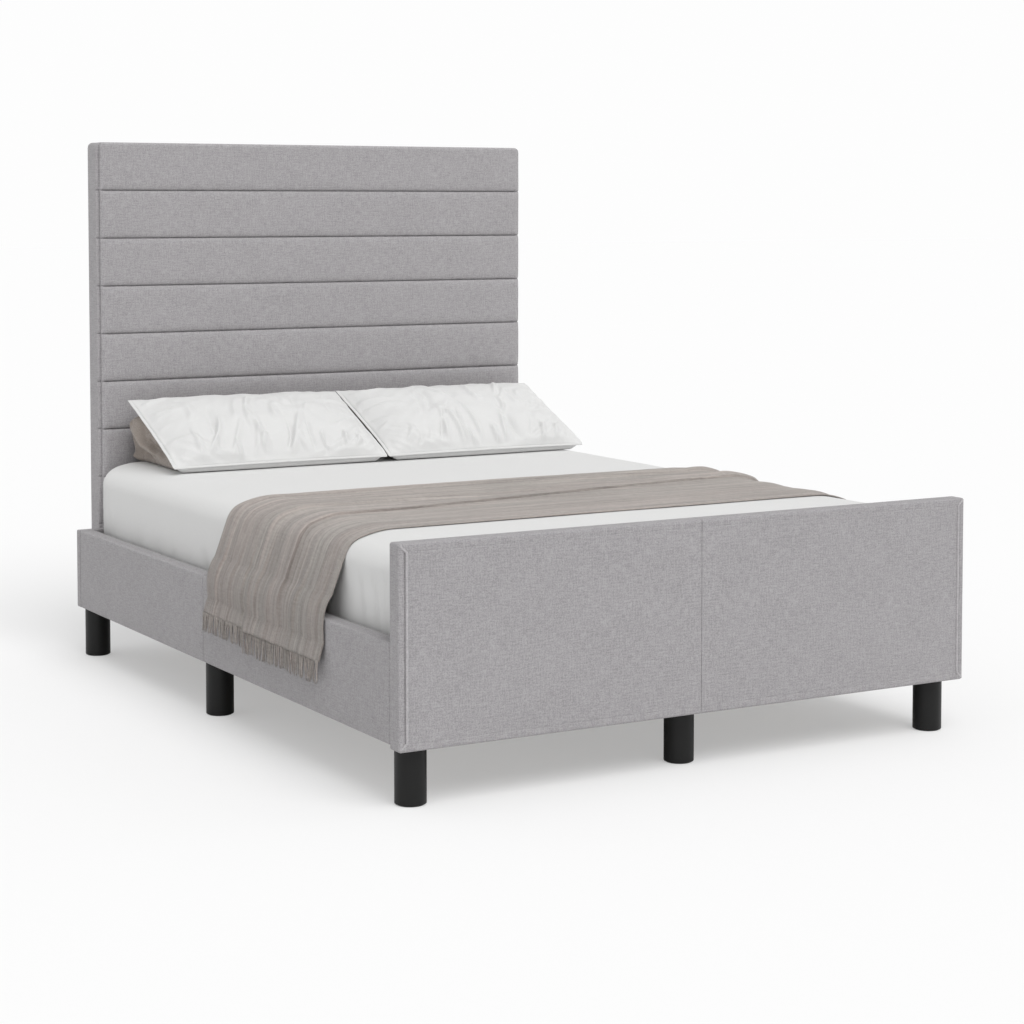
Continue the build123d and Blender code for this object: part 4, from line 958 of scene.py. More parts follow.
def throw_cloth(sizes, material):
    """The throw: a double cloth with lengthwise pleats that fan out across the bed.

    Its outer side stands off the line under it by the cloth's own thickness plus a sum
    of lopsided bells, one to a pleat, and closes to its inner side in round edges.
    """
    x, z, normal, low, high = throw_path(sizes)
    run = np.concatenate([[0], np.cumsum(np.hypot(np.diff(x), np.diff(z)))])
    middle = run[-1] / 2
    wide = high.y - low.y
    step_at = HEM_STEP_AT / wide
    inner_v = np.linspace(0.006, wide - 0.006, 165) / wide
    v = np.unique(np.concatenate([inner_v, step_at + np.linspace(-0.012, 0.012, 9) / wide]))
    u = run[:, None] - middle
    right_share = smooth(-x[:, None], -0.72, 0.72)
    crease = (0.235 + 0.165 * (1 - right_share)) / wide
    v = np.broadcast_to(v[None, :], (len(run), v.size))
    far = (1 - v) / (1 - crease)
    far_band = 1 - smooth(far, 0.95, 1.02)
    over_edge = bell(np.abs(x[:, None]) - 0.660, 0.075)
    hang = smooth(np.abs(u), 0.66, 0.84)
    pleats = np.zeros(v.shape)
    dice = np.random.default_rng(63)
    for at, size in ((0.05, 0.5), (0.15, 0.9), (0.27, 0.6), (0.38, 1.0), (0.50, 0.55), (0.61, 0.9), (0.74, 0.7),
                     (0.87, 1.0)):
        drift = 0.022 * np.sin(2.2 * u + dice.uniform(0, 6)) + 0.008 * np.sin(6.0 * u + dice.uniform(0, 6))
        gap = (far - at - drift) * (1 - crease) * wide
        swell = 0.55 + 0.45 * np.sin(3.1 * u + dice.uniform(0, 6))
        pleats += size * bell(gap, 0.0075, 0.020) * (0.35 + 0.65 * swell)
    strong = (v - crease) * wide
    ledge = (smooth(strong, -0.004, 0.0025) * (1 - smooth(strong, 0.008, 0.075))
             * (1 - 0.85 * smooth(np.abs(u), 0.80, 0.92)))
    near = np.zeros(v.shape)
    for at, size in ((0.10, 0.35), (0.20, 0.55), (0.30, 0.4)):
        gap = (v - at) * wide + 0.01 * np.sin(2.5 * u + 9 * at)
        near += size * bell(gap, 0.020) * (0.10 + 0.90 * np.maximum(hang, over_edge))
    swells = np.zeros(v.shape)
    for at, size in ((0.16, 0.5), (0.40, 0.8), (0.64, 1.0), (0.88, 0.8)):
        swells += size * bell((v - at) * wide + 0.012 * np.sin(9 * at), 0.040)
    hanging = np.zeros(v.shape)
    for at, size in ((0.075, 0.6), (0.155, 0.75), (0.25, 1.0), (0.34, 0.6), (0.425, 0.9), (0.53, 1.0),
                     (0.62, 0.7), (0.70, 1.0), (0.80, 0.8), (0.90, 0.9)):
        slide = 0.030 * np.sin(3.2 * u + 11 * at) + 0.010 * np.sin(9.0 * u + 23 * at)
        gap = (v - at - slide) * wide
        hanging += size * bell(gap, 0.0085, 0.0185) * (0.8 + 0.2 * np.sin(14 * u + 31 * at))
    bump = bell(strong + 0.016, 0.010) * (1 - hang)
    folded = sizes.pleat_height * (0.78 * pleats * far_band * (1 - 0.8 * hang) * (1 + 0.4 * over_edge)
                                   + 0.75 * ledge + 0.62 * hanging * hang)
    stand = folded + sizes.pleat_height * (
        0.28 * bump + 0.35 * near * (1 - 0.5 * hang) + 0.62 * swells * over_edge)
    stand += (0.0005 * (1 + ripple(u, v * wide, 67, 0.11))
              + 0.0007 * hang * (1 + ripple(u * 0.4, v * wide, 68, 0.045)))
    foot_side = 1 - smooth(v, step_at - 0.002 / wide, step_at + 0.002 / wide)
    low_end = smooth(np.abs(u), middle - 0.10, middle - 0.01)
    stand *= 1 - 0.55 * smooth(np.abs(u), middle - 0.07, middle - 0.004)
    stand += 0.0028 * foot_side * low_end
    stand = np.minimum(stand, 0.0165)
    edge_gap = np.minimum(v, 1 - v) * wide
    stand *= 0.35 + 0.65 * smooth(edge_gap, 0.0, 0.018)
    outer = 0.0034 + stand
    raised = sizes.hem_step * (1 - foot_side) + 0.0010 * ripple(v * wide, 0 * v, 69, 0.09)
    squeeze = smooth(np.abs(u), middle - 0.090, middle)
    lift = raised * squeeze
    wave = 0.0022 * ripple(u, 0 * u, 71, 0.55) * (1 - low_end)
    base_y = low.y + 0.001 + v * (wide - 0.002)
    edge_wave = wave * (np.abs(2 * v - 1) ** 6)

    overhang = np.minimum(1.15 * folded, 0.014) * smooth(edge_gap, 0.004, 0.030)

    def layer(offset):
        return np.stack([x[:, None] + normal[:, :1] * offset, base_y + edge_wave - overhang,
                         z[:, None] + normal[:, 1:] * offset + lift], -1)

    inner = layer(0.0003 + np.maximum(stand - 0.0030, 0) * 0.85)
    cover = layer(outer)
    half_turn = np.linspace(0, pi, 7)[1:-1]
    edges = []
    for index, sign in ((-1, 1), (0, -1)):
        first, last = cover[:, index], inner[:, index]
        centre, reach = (first + last) / 2, (first - last) / 2
        size = np.linalg.norm(reach, axis=1)[:, None, None]
        outward = np.zeros((len(run), 1, 3))
        outward[..., 1] = sign
        edges.append(centre[:, None] + reach[:, None] * np.cos(half_turn)[None, :, None]
                     + outward * size * np.sin(half_turn)[None, :, None])
    loop = np.concatenate([cover, edges[0], inner[:, ::-1], edges[1][:, ::-1]], 1)
    steps = np.linalg.norm(np.diff(loop, axis=1), axis=2)
    place_v = np.concatenate([np.zeros((len(run), 1)), np.cumsum(steps, 1)], 1)
    places = np.stack(np.broadcast_arrays(run[:, None], place_v), -1)
    faces = grid_faces(*loop.shape[:2], closed=True)
    columns = loop.shape[1]
    reach = v.shape[1]
    cap_top = np.arange(reach)
    cap_low = reach + 5 + np.arange(reach)[::-1]
    caps = []
    for row, turn in ((0, False), (len(run) - 1, True)):
        start = row * columns
        cap = np.stack([cap_top[:-1], cap_low[:-1], cap_low[1:], cap_top[1:]], -1) + start
        caps.append(cap[:, ::-1] if turn else cap)
    faces = np.concatenate([faces, *caps])
    made = piece("throw_cloth", loop, faces, "throw", material, places)

    def close_hems(work):
        bmesh.ops.holes_fill(work, edges=[e for e in work.edges if e.is_boundary], sides=16)
        bmesh.ops.recalc_face_normals(work, faces=work.faces)

    reworked(made.data, close_hems)
    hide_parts("throw")
    return made, run[-1]


def throw_fringe(sizes, side):
    """Loose strands below one hem, each a thin tapering tube with its own bend and length."""
    low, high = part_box("throw_fringe")
    total = high.y - low.y
    strands = int(total / sizes.fringe_spacing)
    dice = np.random.default_rng(81 + side)
    share = (np.arange(strands) + 0.5 + dice.uniform(-0.3, 0.3, strands))
    root_y = low.y + 0.003 + (total - 0.006) * share / strands
    foot = root_y < low.y + HEM_STEP_AT
    top_z = np.where(foot, high.z, high.z + sizes.hem_step) + 0.002
    drop = np.where(foot, 0.052, 0.046) * dice.uniform(0.86, 1.0, strands)
    levels = np.linspace(0, 1, 8)
    bunched = np.repeat(dice.normal(0, 0.0030, strands // 4 + 1), 4)[:strands]
    lean = bunched + dice.normal(0, 0.0018, strands)
    bow = dice.normal(0, 0.0014, strands)
    bends = np.sin(levels * pi * dice.uniform(0.8, 2.2, strands)[:, None])
    y = root_y[:, None] + lean[:, None] * levels ** 1.5 + bow[:, None] * bends
    z = top_z[:, None] - (drop[:, None] + 0.002) * levels
    centre_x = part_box("throw")[1].x + 0.0125 + np.where(foot, 0.0010, 0.0)
    x = centre_x[:, None] + dice.uniform(-0.0002, 0.0026, strands)[:, None] * np.sin(levels * 2.6) + 0 * z
    radius = 0.00195 * dice.uniform(0.80, 1.1, strands)[:, None] * (1 - 0.50 * levels ** 2)
    turn = np.linspace(0, 2 * pi, 6)[None, None, :]
    twist = turn + 5.0 * levels[None, :, None]
    points = np.stack([side * (x[..., None] + radius[..., None] * np.cos(twist)),
                       y[..., None] + radius[..., None] * np.sin(twist), z[..., None] + 0 * twist], -1)
    tips = np.stack([side * x[:, [0, -1]], y[:, [0, -1]], z[:, [0, -1]]], -1)[:, :, None, :]
    points = np.concatenate([np.repeat(tips[:, :1], 6, 2), points, np.repeat(tips[:, 1:], 6, 2)], 1)
    one = grid_faces(10, 6)
    faces = (one[None] + 60 * np.arange(strands)[:, None, None]).reshape(-1, 4)
    place_u = np.broadcast_to(np.linspace(0, 0.05, 10)[None, :, None], (strands, 10, 6))
    place_v = np.broadcast_to(root_y[:, None, None] + 0.0004 * np.arange(6), (strands, 10, 6))
    return points, faces, np.stack([place_u, place_v], -1)


# ---- Pillows and cushions --------------------------------------------------------------

def fill_up(made, pressure, frames, stiff, bending):
    """Blows a closed cloth up with Blender's cloth simulation and returns its new points."""
    scene = bpy.context.scene
    cloth = made.modifiers.new("filling", "CLOTH")
    settings = cloth.settings
    settings.quality = 7
    settings.mass = 0.25
    settings.air_damping = 2.0
    settings.tension_stiffness = settings.compression_stiffness = stiff
    settings.shear_stiffness = stiff * 0.5
    settings.bending_stiffness = bending
    settings.tension_damping = settings.compression_damping = 12
    settings.use_pressure = True
    settings.uniform_pressure_force = pressure
    settings.effector_weights.gravity = 0
    cloth.point_cache.frame_start, cloth.point_cache.frame_end = 1, frames
    for number_of_frame in range(1, frames + 1):
        scene.frame_set(number_of_frame)
    shown = made.evaluated_get(bpy.context.evaluated_depsgraph_get())
    points = np.zeros(len(shown.data.vertices) * 3)
    shown.data.vertices.foreach_get("co", points)
    made.modifiers.remove(cloth)
    scene.frame_set(1)
    return points.reshape(-1, 3)


def pillow_creases(half_w, half_l, seed):
    """Lines of the folds on a pillow: upright ones above the lower seam, bows round the lower
    corners, a few from the ends, and long slanting ones across the middle."""
    dice = np.random.default_rng(seed)
    lines = []
    for at in np.linspace(-0.24, 0.25, 17) + dice.uniform(-0.014, 0.014, 17):
        lean, reach = dice.uniform(-0.25, 0.60), dice.uniform(0.050, 0.185)
        foot = -half_l + dice.uniform(0.002, 0.026)
        lines.append((at, foot, at + lean * reach, foot + reach, dice.uniform(0.0036, 0.0066),
                      dice.uniform(0.0075, 0.0165) * dice.choice([1, 1, -0.6]), dice.uniform(-0.020, 0.020)))
    for end in (-1, 1):
        for ring in (0.044, 0.066, 0.092, 0.122, 0.155):
            ring = ring + dice.uniform(-0.006, 0.006)
            lines.append((end * (half_w - ring * 1.45), -half_l + 0.008,
                          end * (half_w - 0.014), -half_l + ring * 1.05,
                          dice.uniform(0.0045, 0.0080), dice.uniform(0.0050, 0.0095), end * 0.25 * ring))
    for at in np.linspace(-0.08, 0.14, 5) + dice.uniform(-0.012, 0.012, 5):
        for end in (-1, 1):
            reach = dice.uniform(0.05, 0.14)
            lines.append((end * (half_w - 0.006), at, end * (half_w - reach), at + dice.uniform(-0.05, 0.02),
                          dice.uniform(0.0050, 0.0090), dice.uniform(0.0030, 0.0065), dice.uniform(-0.008, 0.008)))
    for _ in range(13):
        start = dice.uniform((-0.22, -0.10), (0.22, 0.02))
        heading, reach = dice.uniform(0.7, 2.2), dice.uniform(0.09, 0.20)
        lines.append((*start, start[0] + reach * cos(heading), start[1] + reach * sin(heading),
                      dice.uniform(0.0050, 0.0095), dice.uniform(0.0050, 0.0115) * dice.choice([1, 1, -0.6]),
                      dice.uniform(-0.024, 0.024)))
    return lines


def blown_up(name, half_w, half_l, u, v):
    """Heights above and below the seam of two flat panels sewn together and blown up.

    The panels begin as one coarse grid each with a slight lift in the middle. The
    filled heights are read bilinearly at the shares u and v and rubbed smooth.
    """
    columns, rows = 91, 55
    a, b = np.meshgrid(np.linspace(-1, 1, columns), np.linspace(-1, 1, rows))
    panel = np.stack([a * half_w, b * half_l, 0.006 * (1 - a ** 4) * (1 - b ** 4)], -1).reshape(-1, 3)
    faces = grid_faces(rows, columns)
    made = piece(name + "_filling", np.concatenate([panel, panel * (1, 1, -1)]),
                 np.concatenate([faces, faces[:, ::-1] + rows * columns]), None, None, inflate=True)
    before = np.zeros(len(made.data.vertices) * 3)
    made.data.vertices.foreach_get("co", before)
    before = before.reshape(-1, 3)
    after = fill_up(made, 5.0, 30, 28.0, 0.35)
    bpy.data.objects.remove(made)
    column = np.rint((before[:, 0] / half_w + 1) / 2 * (columns - 1)).astype(int)
    row = np.rint((before[:, 1] / half_l + 1) / 2 * (rows - 1)).astype(int)
    at_u, at_v = (u + 1) / 2 * (columns - 1), (v + 1) / 2 * (rows - 1)
    left, under = np.minimum(at_u.astype(int), columns - 2), np.minimum(at_v.astype(int), rows - 2)
    at_u, at_v = at_u - left, at_v - under
    heights = []
    for side in (1, -1):
        coarse = np.zeros((rows, columns))
        there = side * before[:, 2] >= -1e-6
        coarse[row[there], column[there]] = np.maximum(side * after[there, 2], 0)
        fine = ((coarse[under, left] * (1 - at_u) + coarse[under, left + 1] * at_u) * (1 - at_v)
                + (coarse[under + 1, left] * (1 - at_u) + coarse[under + 1, left + 1] * at_u) * at_v)
        for _ in range(4):
            fine[1:-1] = (fine[:-2] + 2 * fine[1:-1] + fine[2:]) / 4
            fine[:, 1:-1] = (fine[:, :-2] + 2 * fine[:, 1:-1] + fine[:, 2:]) / 4
        heights.append(fine)
    return heights


def pillow(name, sizes, material, seed):
    """A white pillow: a blown-up case with folds, laid on its slope, and a flange round its seam.

    Its upper side is a mix of the blown-up height and (1 - u^5)^0.66 (1 - v^3.2)^0.66,
    plus folds. Its underside is pressed flat, and hangs to the sheet in front of the
    cushion that props it. A narrow flange is sewn round the seam.
    """
    low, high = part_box(name)
    tilt, flange, slope_length = sizes.pillow_tilt, sizes.pillow_flange, sizes.pillow_slope
    seam_height = sizes.pillow_seam_height
    half_w = (high.x - low.x) / 2 - flange
    half_l = slope_length / 2 - flange
    columns, rows = 241, 145
    u, v = np.meshgrid(np.linspace(-1, 1, columns), np.linspace(-1, 1, rows))
    plump = (np.maximum(1 - np.abs(u) ** 5.0, 0) * np.maximum(1 - np.abs(v) ** 3.2, 0)) ** 0.66
    upper, lower = blown_up(name, half_w * 1.030, half_l * 1.075, u, v)
    x = u * half_w - 0.0020 * (1 - v ** 2) * u
    y = v * half_l - 0.0030 * (1 - u ** 2) * v
    top = (sizes.pillow_crown - seam_height) * (0.45 * upper / upper.max() + 0.55 * plump)
    clear = smooth(top, 0.0, 0.016)
    folds = creases(x, y, pillow_creases(half_w, half_l, seed))
    soft = 0.0022 * ripple(x, y, seed, 0.15) + 0.0012 * ripple(x, y, seed + 1, 0.055)
    top = np.maximum(top + clear * (0.022 * np.tanh(folds / 0.022) + soft - 0.0050), 0.15 * top)
    sunk = 0.0055 * np.exp(-(y + half_l) / 0.040)
    below = -seam_height * (1 - np.exp(-(0.03 * plump + 0.4 * lower) / (0.45 * seam_height)))
    gap = y + half_l
    ends = smooth(half_w - np.abs(x), 0.0, 0.030)
    to_sheet = -seam_height - (flange + gap) * np.tan(tilt) - 0.0010
    belly = smooth(gap, 0.0, 0.009) * (1 - smooth(gap, 0.018, 0.027)) * ends
    below = below - sunk + belly * (to_sheet - below + sunk)
    below = np.maximum(below, np.where(gap < 0.027, to_sheet, 0.0010 - seam_height))
    forward = 0.0040 * np.sin(pi * np.clip(gap / 0.011, 0, 1)) * ends
    border = (np.abs(u) == 1) | (np.abs(v) == 1)
    over = np.stack([x, y, np.where(border, 0, top) - sunk], -1)
    under = np.stack([x, np.where(border, y, y - forward), np.where(border, -sunk, below)], -1)
    places = np.stack([x, y], -1).reshape(-1, 2)
    order = np.arange(rows * columns).reshape(rows, columns)
    rim_order = np.concatenate([order[0, :-1], order[:-1, -1], order[-1, :0:-1], order[:0:-1, 0]])
    rim = over.reshape(-1, 3)[rim_order]
    rim_u, rim_v = u.ravel()[rim_order], v.ravel()[rim_order]
    out = np.stack([np.trunc(rim_u), np.trunc(rim_v), 0 * rim_u], -1)
    around = np.concatenate([[0], np.cumsum(np.linalg.norm(np.diff(rim, axis=0), axis=1))])
    wave = 0.0014 * ripple(around, 0 * around, seed + 5, 0.06)
    lower_edge = (rim_v == -1) * 1.0
    overlap = lower_edge * bell(rim[:, 0] - 0.015, 0.006)
    section = [(-0.0035, 0.0), (0.0, 0.0011), (0.30, 0.0010), (0.62, 0.0009), (0.92, 0.0006), (1.0, 0.0),
               (0.92, -0.0006), (0.62, -0.0009), (0.30, -0.0010), (0.0, -0.0011)]
    strip = []
    for share, rise in section:
        beyond = max(share, 0)
        reach = (beyond * flange * (1 - 0.45 * lower_edge) * (1 - 0.35 * overlap) * (1 + 90 * wave)
                 + min(share, 0))
        place = rim + out * reach[:, None]
        place[:, 2] += rise - (0.0012 + 0.0018 * lower_edge) * beyond ** 1.6 + wave * beyond * 0.5
        place[:, 2] = np.maximum(place[:, 2], 0.0012 - seam_height + max(rise, 0))
        strip.append(place)
    strip = np.stack(strip, 1)
    strip_places = np.stack(np.broadcast_arrays(around[:, None], np.linspace(0, 0.030, 10)[None, :]), -1)
    strip = np.concatenate([strip, strip[:1]])
    strip = np.concatenate([strip, strip[:, :1]], 1)
    strip_places = np.concatenate([strip_places, strip_places[-1:] + 0.006])
    strip_places = np.concatenate([strip_places, strip_places[:, -1:] + 0.003], 1)
    slope_up = np.array([0, cos(tilt), sin(tilt)])
    lift_up = np.array([0, -sin(tilt), cos(tilt)])
    centre = np.array([(low.x + high.x) / 2 + PILLOW_ASIDE[name], low.y, low.z])
    centre = centre + slope_up * slope_length / 2
    centre = centre + lift_up * (seam_height + 0.0002)

    def laid(place):
        place = (centre + place[..., :1] * np.array([1, 0, 0]) + place[..., 1:2] * slope_up
                 + place[..., 2:] * lift_up)
        place[..., 2] = np.maximum(place[..., 2], low.z - 0.0022)
        return place

    faces = grid_faces(rows, columns)
    made = piece(name + "_cloth", laid(np.concatenate([over.reshape(-1, 3), under.reshape(-1, 3)])),
                 np.concatenate([faces, faces[:, ::-1] + rows * columns]), name, material,
                 np.concatenate([places, places]))
    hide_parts(name)
    edge = piece(name + "_flange", laid(strip), grid_faces(*strip.shape[:2]), name, material,
                 strip_places)
    return made, edge


def cushion(name, sizes, material, seed):
    """A wedge cushion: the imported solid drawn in, remeshed, blown up and kept under its pillow."""
    low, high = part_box(name)
    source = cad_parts[name]
    mesh = source.data.copy()
    mesh.name = name + "_cloth"
    reworked(mesh, lambda work: bmesh.ops.remove_doubles(work, verts=work.verts, dist=1e-5))
    made = bpy.data.objects.new(name + "_cloth", mesh)
    bpy.context.scene.collection.objects.link(made)
    size = len(mesh.vertices)
    points = np.zeros(size * 3)
    mesh.vertices.foreach_get("co", points)
    points = points.reshape(-1, 3)
    centre = np.array([(low.x + high.x) / 2, (low.y + high.y) / 2 + 0.04, (low.z + high.z) / 2 - 0.01])
    points = centre + (points - centre) * np.array([0.992, 0.975, 0.955])
    mesh.vertices.foreach_set("co", points.astype(np.float32).ravel())
    remesh = made.modifiers.new("even mesh", "REMESH")
    remesh.mode, remesh.voxel_size = "VOXEL", 0.0065
    even = bpy.data.meshes.new_from_object(made.evaluated_get(bpy.context.evaluated_depsgraph_get()))
    made.modifiers.clear()
    made.data = even
    even.name = name + "_cloth"
    start = np.zeros(len(even.vertices) * 3)
    even.vertices.foreach_get("co", start)
    start = start.reshape(-1, 3)
    moved = fill_up(made, 4.0, 20, 12.0, 0.3)
    shift = moved - start
    reach = np.linalg.norm(shift, axis=1, keepdims=True)
    moved = start + shift * np.minimum(1, 0.024 / np.maximum(reach, 1e-9))
    x, y, z = moved.T
    end = np.abs(x - (low.x + high.x) / 2) / ((high.x - low.x) / 2)
    pinch = smooth(end, 0.80, 1.0)
    seam_z = low.z + 0.018 + 0.30 * (y - low.y) * 0.5
    z = z + pinch * (seam_z - z) * 0.18
    middle_x = (low.x + high.x) / 2
    lines = [(low.y + 0.03, low.z + 0.004, low.y + 0.20, low.z + 0.055, 0.0070, 0.0150, 0.006),
             (low.y + 0.08, low.z + 0.008, low.y + 0.30, low.z + 0.085, 0.0065, -0.0150, -0.008),
             (low.y + 0.14, low.z + 0.020, low.y + 0.33, low.z + 0.125, 0.0080, 0.0160, 0.010),
             (low.y + 0.22, low.z + 0.010, low.y + 0.34, low.z + 0.110, 0.0080, -0.0150, 0.006),
             (low.y + 0.27, low.z + 0.010, low.y + 0.33, low.z + 0.145, 0.0060, 0.0050, -0.004)]
    rise = z - low.z
    ears = (CUSHION_EAR * smooth(rise, 0.055, 0.150) + 0.013 * (1 - smooth(rise, 0.004, 0.026))
            - 0.006 * bell(rise - 0.035, 0.018))
    x = x + np.sign(x - middle_x) * (smooth(end, 0.84, 1.0) * creases(y, z, lines) * 1.25
                                     + smooth(end, 0.70, 1.0) * ears)
    z = z + 0.0022 * smooth(end, 0.60, 0.95) * ripple(x, y, seed, 0.06)
    pillow_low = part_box(name.replace("cushion", "pillow"))[0]
    roof = pillow_low.z + (y - pillow_low.y) * np.tan(sizes.pillow_tilt) - 0.0006
    z = np.minimum(z, roof)
    z = np.maximum(z, low.z + 0.0002)
    y = np.clip(y, low.y - 0.004, high.y + 0.003)
    x = np.clip(x, low.x - CUSHION_EAR, high.x + CUSHION_EAR)
    z = np.minimum(z, high.z + 0.004)
    moved = np.stack([x, y, z], -1)
    even.vertices.foreach_set("co", moved.astype(np.float32).ravel())
    even.update()
    even.materials.clear()
    even.materials.append(material)
    even.polygons.foreach_set("use_smooth", np.ones(len(even.polygons), bool))
    finer = made.modifiers.new("smooth cloth", "SUBSURF")
    finer.levels = finer.render_levels = 1
    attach(made, name)
    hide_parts(name)
    return made


# ---- Carried-over pieces -------------------------------------------------------------

# The first row with a word that is in a carried-over node's name gives its material.
NODE_FINISHES = (
    (("core", "headboard_panel"), "particle board"),
    (("foam",), "foam"),
    (("dowels", "timber", "blocks", "ledgers"), "pine"),
    (("holders",), "black plastic"),
    (("slats",), "birch plywood"),
    (("leg_glides",), "grey felt"),
    (("leg_studs",), "zinc-plated steel"),
    (("leg_",), "black leg paint"),
    (("centre_beam",), "black coated steel"),
    (("bolts", "screws", "nuts", "brackets", "plate"), "zinc-plated steel"),
)


# ---- Operators ------------------------------------------------------------------------

class BedOperator:
    """Shared by the bed's operators: settings and materials at hand."""

    bl_options = {"REGISTER", "UNDO"}

    def execute(self, context):
        scene = context.scene
        if not context.scene.get("bed_finished"):
            make_finishes(scene.bed_colours, scene.bed_sizes)
            scene["bed_finished"] = 1
        self.build(scene.bed_sizes, bpy.data.materials)
        return {"FINISHED"}


class BED_OT_pillows(BedOperator, bpy.types.Operator):
    """Fill the two white pillows and sew on their flanges"""
    bl_idname = "bed.pillows"
    bl_label = "Pillows"

    def build(self, sizes, materials):
        # The pillows take the darker copy of the linen, its painted shade.
        pillow("pillow_left", sizes, materials["pillow linen with painted shade"], 101)
        pillow("pillow_right", sizes, materials["pillow linen with painted shade"], 113)


class BED_OT_cushions(BedOperator, bpy.types.Operator):
    """Fill the two cushions that prop the pillows"""
    bl_idname = "bed.cushions"
    bl_label = "Cushions"

    def build(self, sizes, materials):
        cushion("cushion_left", sizes, materials["taupe cushion cloth"], 121)
        cushion("cushion_right", sizes, materials["taupe cushion cloth"], 131)


class BED_OT_headboard(BedOperator, bpy.types.Operator):
    """Cover the headboard with channelled fabric and line its back"""
    bl_idname = "bed.headboard"
    bl_label = "Headboard"

    def build(self, sizes, materials):
        headboard_cover(sizes, materials["headboard cloth with painted light"])
        headboard_padding(sizes, materials["foam"])
        backing_cloth(materials["black backing cloth"])


class BED_OT_boards(BedOperator, bpy.types.Operator):
    """Cover the footboard and the rails"""
    bl_idname = "bed.boards"
    bl_label = "Footboard and rails"

    def build(self, sizes, materials):
        cloth = materials["woven upholstery"]
        for side, name in ((-1, "left"), (1, "right")):
            footboard_fabric(side, name, sizes, cloth)
            for part in ("front", "rear"):
                rail_fabric(side, f"{name}_rail_{part}_cover", sizes, cloth)
        head_rail_fabric(cloth)


class BED_OT_mattress(BedOperator, bpy.types.Operator):
    """Make the quilted mattress and its fitted sheet"""
    bl_idname = "bed.mattress"
    bl_label = "Mattress and sheet"

    def build(self, sizes, materials):
        mattress_block(sizes, materials["ticking"])
        fitted_sheet(sizes, materials["white linen"])


class BED_OT_throw(BedOperator, bpy.types.Operator):
    """Lay the pleated throw over the mattress and hang its fringe"""
    bl_idname = "bed.throw"
    bl_label = "Throw"

    def build(self, sizes, materials):
        cloth, run = throw_cloth(sizes, materials["throw weave"])
        points, faces, places = stack([throw_fringe(sizes, side) for side in (-1, 1)])
        fringe = piece("throw_fringe_strands", points, faces, "throw",
                       materials["fringe yarn"], places)
        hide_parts("throw_fringe")


class BED_OT_structure(BedOperator, bpy.types.Operator):
    """Give the timber, steel, plastic and painted pieces their finishes"""
    bl_idname = "bed.structure"
    bl_label = "Timber, steel and legs"

    def build(self, sizes, materials):
        for name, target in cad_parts.items():
            for words, finish in NODE_FINISHES:
                if any(word in name for word in words):
                    target.data.materials.clear()
                    target.data.materials.append(materials[finish])
                    break


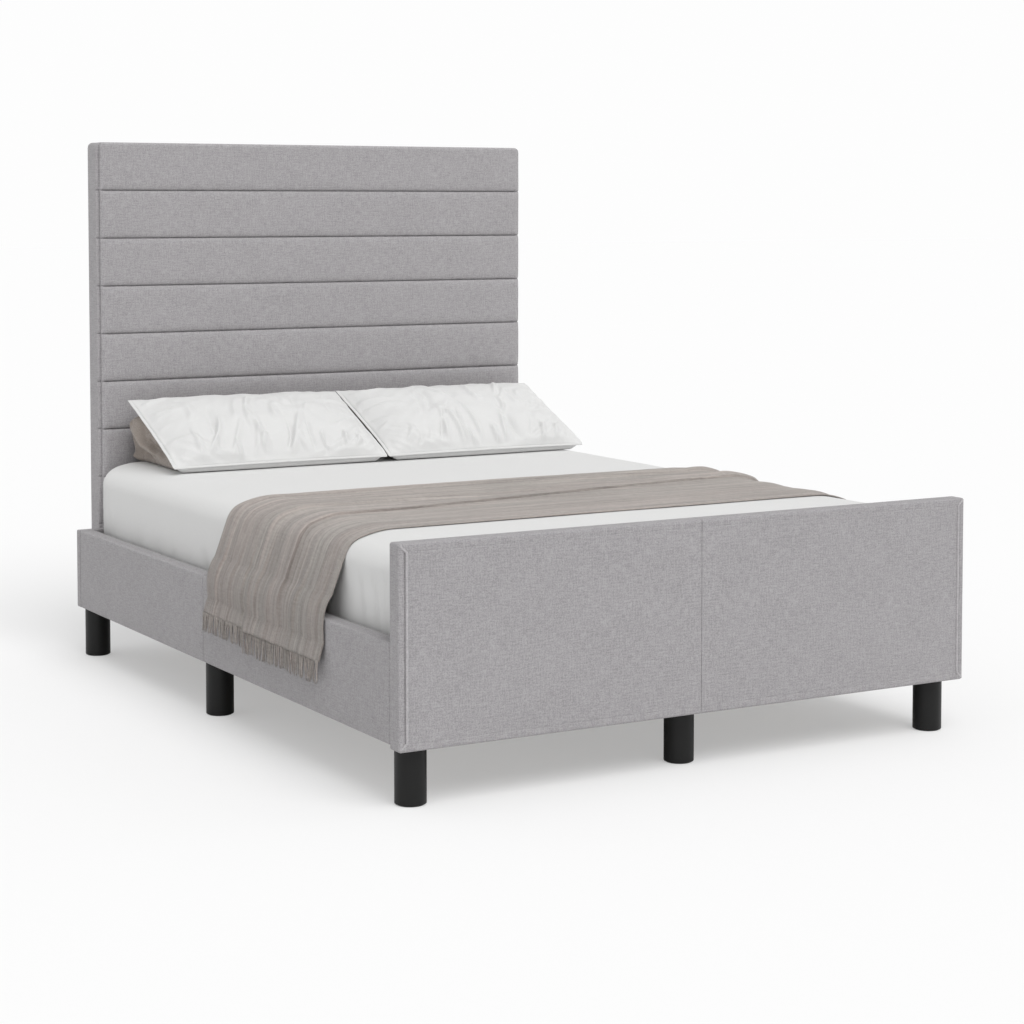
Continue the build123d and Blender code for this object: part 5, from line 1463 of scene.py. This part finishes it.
class BED_OT_studio(bpy.types.Operator):
    """Set up the floor, the lamps, the white surround and the camera"""
    bl_idname = "bed.studio"
    bl_label = "Studio"

    def execute(self, context):
        scene, studio = context.scene, context.scene.bed_studio
        floor_mesh = bpy.data.meshes.new("studio_floor")
        reach = 60.0
        corners = [(-reach, -reach, 0), (reach, -reach, 0), (reach, reach, 0), (-reach, reach, 0)]
        floor_mesh.from_pydata(corners, [], [(0, 1, 2, 3)])
        floor = bpy.data.objects.new("studio_floor", floor_mesh)
        scene.collection.objects.link(floor)
        material = bpy.data.materials.new("studio floor")
        material.use_nodes = True
        tree = material.node_tree
        matt = tree.nodes["Principled BSDF"]
        matt.inputs["Base Color"].default_value = (*studio.floor, 1)
        matt.inputs["Roughness"].default_value = 0.9
        matt.inputs["Specular IOR Level"].default_value = 0.0
        glow = add(tree, "Emission", {"Color": (1, 1, 1, 1), "Strength": studio.floor_glow})
        rays = add(tree, "LightPath").outputs
        seen = times(rays["Is Camera Ray"], 0.38)
        mixed = add(tree, "MixShader", {0: seen, 1: matt.outputs[0], 2: glow.outputs[0]})
        tree.links.new(mixed.outputs[0], tree.nodes["Material Output"].inputs["Surface"])
        floor_mesh.materials.append(material)

        world = bpy.data.worlds.new("studio")
        world.use_nodes = True
        scene.world = world
        tree = world.node_tree
        even = tree.nodes["Background"]
        even.inputs["Color"].default_value = (1, 1, 1, 1)
        even.inputs["Strength"].default_value = studio.sky
        white = add(tree, "Background", {"Color": (1, 1, 1, 1), "Strength": studio.surround})
        rays = add(tree, "LightPath").outputs
        seen = maths("MAXIMUM", rays["Is Camera Ray"],
                     maths("MAXIMUM", rays["Is Glossy Ray"], rays["Is Transmission Ray"]))
        mixed = add(tree, "MixShader", {0: seen, 1: even.outputs[0], 2: white.outputs[0]})
        tree.links.new(mixed.outputs[0], tree.nodes["World Output"].inputs["Surface"])

        for name, strength, spread, turn in (("key lamp", studio.key, 45, (35, 0, 0)),
                                             ("side lamp", studio.side, 40, (0, 60, 0)),
                                             ("fill lamp", studio.fill, 40, (0, -50, 0))):
            lamp = bpy.data.lights.new(name, "SUN")
            lamp.energy = strength
            lamp.angle = radians(spread)
            placed = bpy.data.objects.new(name, lamp)
            placed.rotation_euler = Euler([radians(angle) for angle in turn])
            scene.collection.objects.link(placed)

        eye = bpy.data.cameras.new("camera")
        eye.sensor_width = 36.0
        eye.lens = studio.lens
        eye.shift_y = -0.17
        eye.clip_end = 200
        camera = bpy.data.objects.new("camera", eye)
        camera.location = (-2.8811, -5.1766, 1.2467)
        camera.rotation_euler = Euler((radians(90 - 3.303), 0, radians(-29.976)))
        scene.collection.objects.link(camera)
        scene.camera = camera
        scene.view_settings.view_transform = "Standard"
        return {"FINISHED"}


class BED_PT_panel(bpy.types.Panel):
    """The bed's operators and settings in the sidebar"""
    bl_idname = "BED_PT_panel"
    bl_label = "Upholstered bed"
    bl_space_type = "VIEW_3D"
    bl_region_type = "UI"
    bl_category = "Bed"

    def draw(self, context):
        column = self.layout.column(align=True)
        for operator in OPERATORS:
            column.operator(operator.bl_idname)
        for settings in (context.scene.bed_sizes, context.scene.bed_colours, context.scene.bed_studio):
            box = self.layout.box()
            for name in settings.bl_rna.properties.keys():
                if name not in ("rna_type", "name"):
                    box.prop(settings, name)


OPERATORS = (BED_OT_studio, BED_OT_pillows, BED_OT_cushions, BED_OT_mattress, BED_OT_throw,
             BED_OT_headboard, BED_OT_boards, BED_OT_structure)
CLASSES = (BedSizes, BedColours, BedStudio, *OPERATORS, BED_PT_panel)


def register():
    for each in CLASSES:
        bpy.utils.register_class(each)
    bpy.types.Scene.bed_sizes = PointerProperty(type=BedSizes)
    bpy.types.Scene.bed_colours = PointerProperty(type=BedColours)
    bpy.types.Scene.bed_studio = PointerProperty(type=BedStudio)


def unregister():
    del bpy.types.Scene.bed_sizes, bpy.types.Scene.bed_colours, bpy.types.Scene.bed_studio
    for each in reversed(CLASSES):
        bpy.utils.unregister_class(each)


def main():
    register()
    for operator in OPERATORS:
        group_name, name = operator.bl_idname.split(".")
        getattr(getattr(bpy.ops, group_name), name)()


if __name__ == "__main__":
    main()
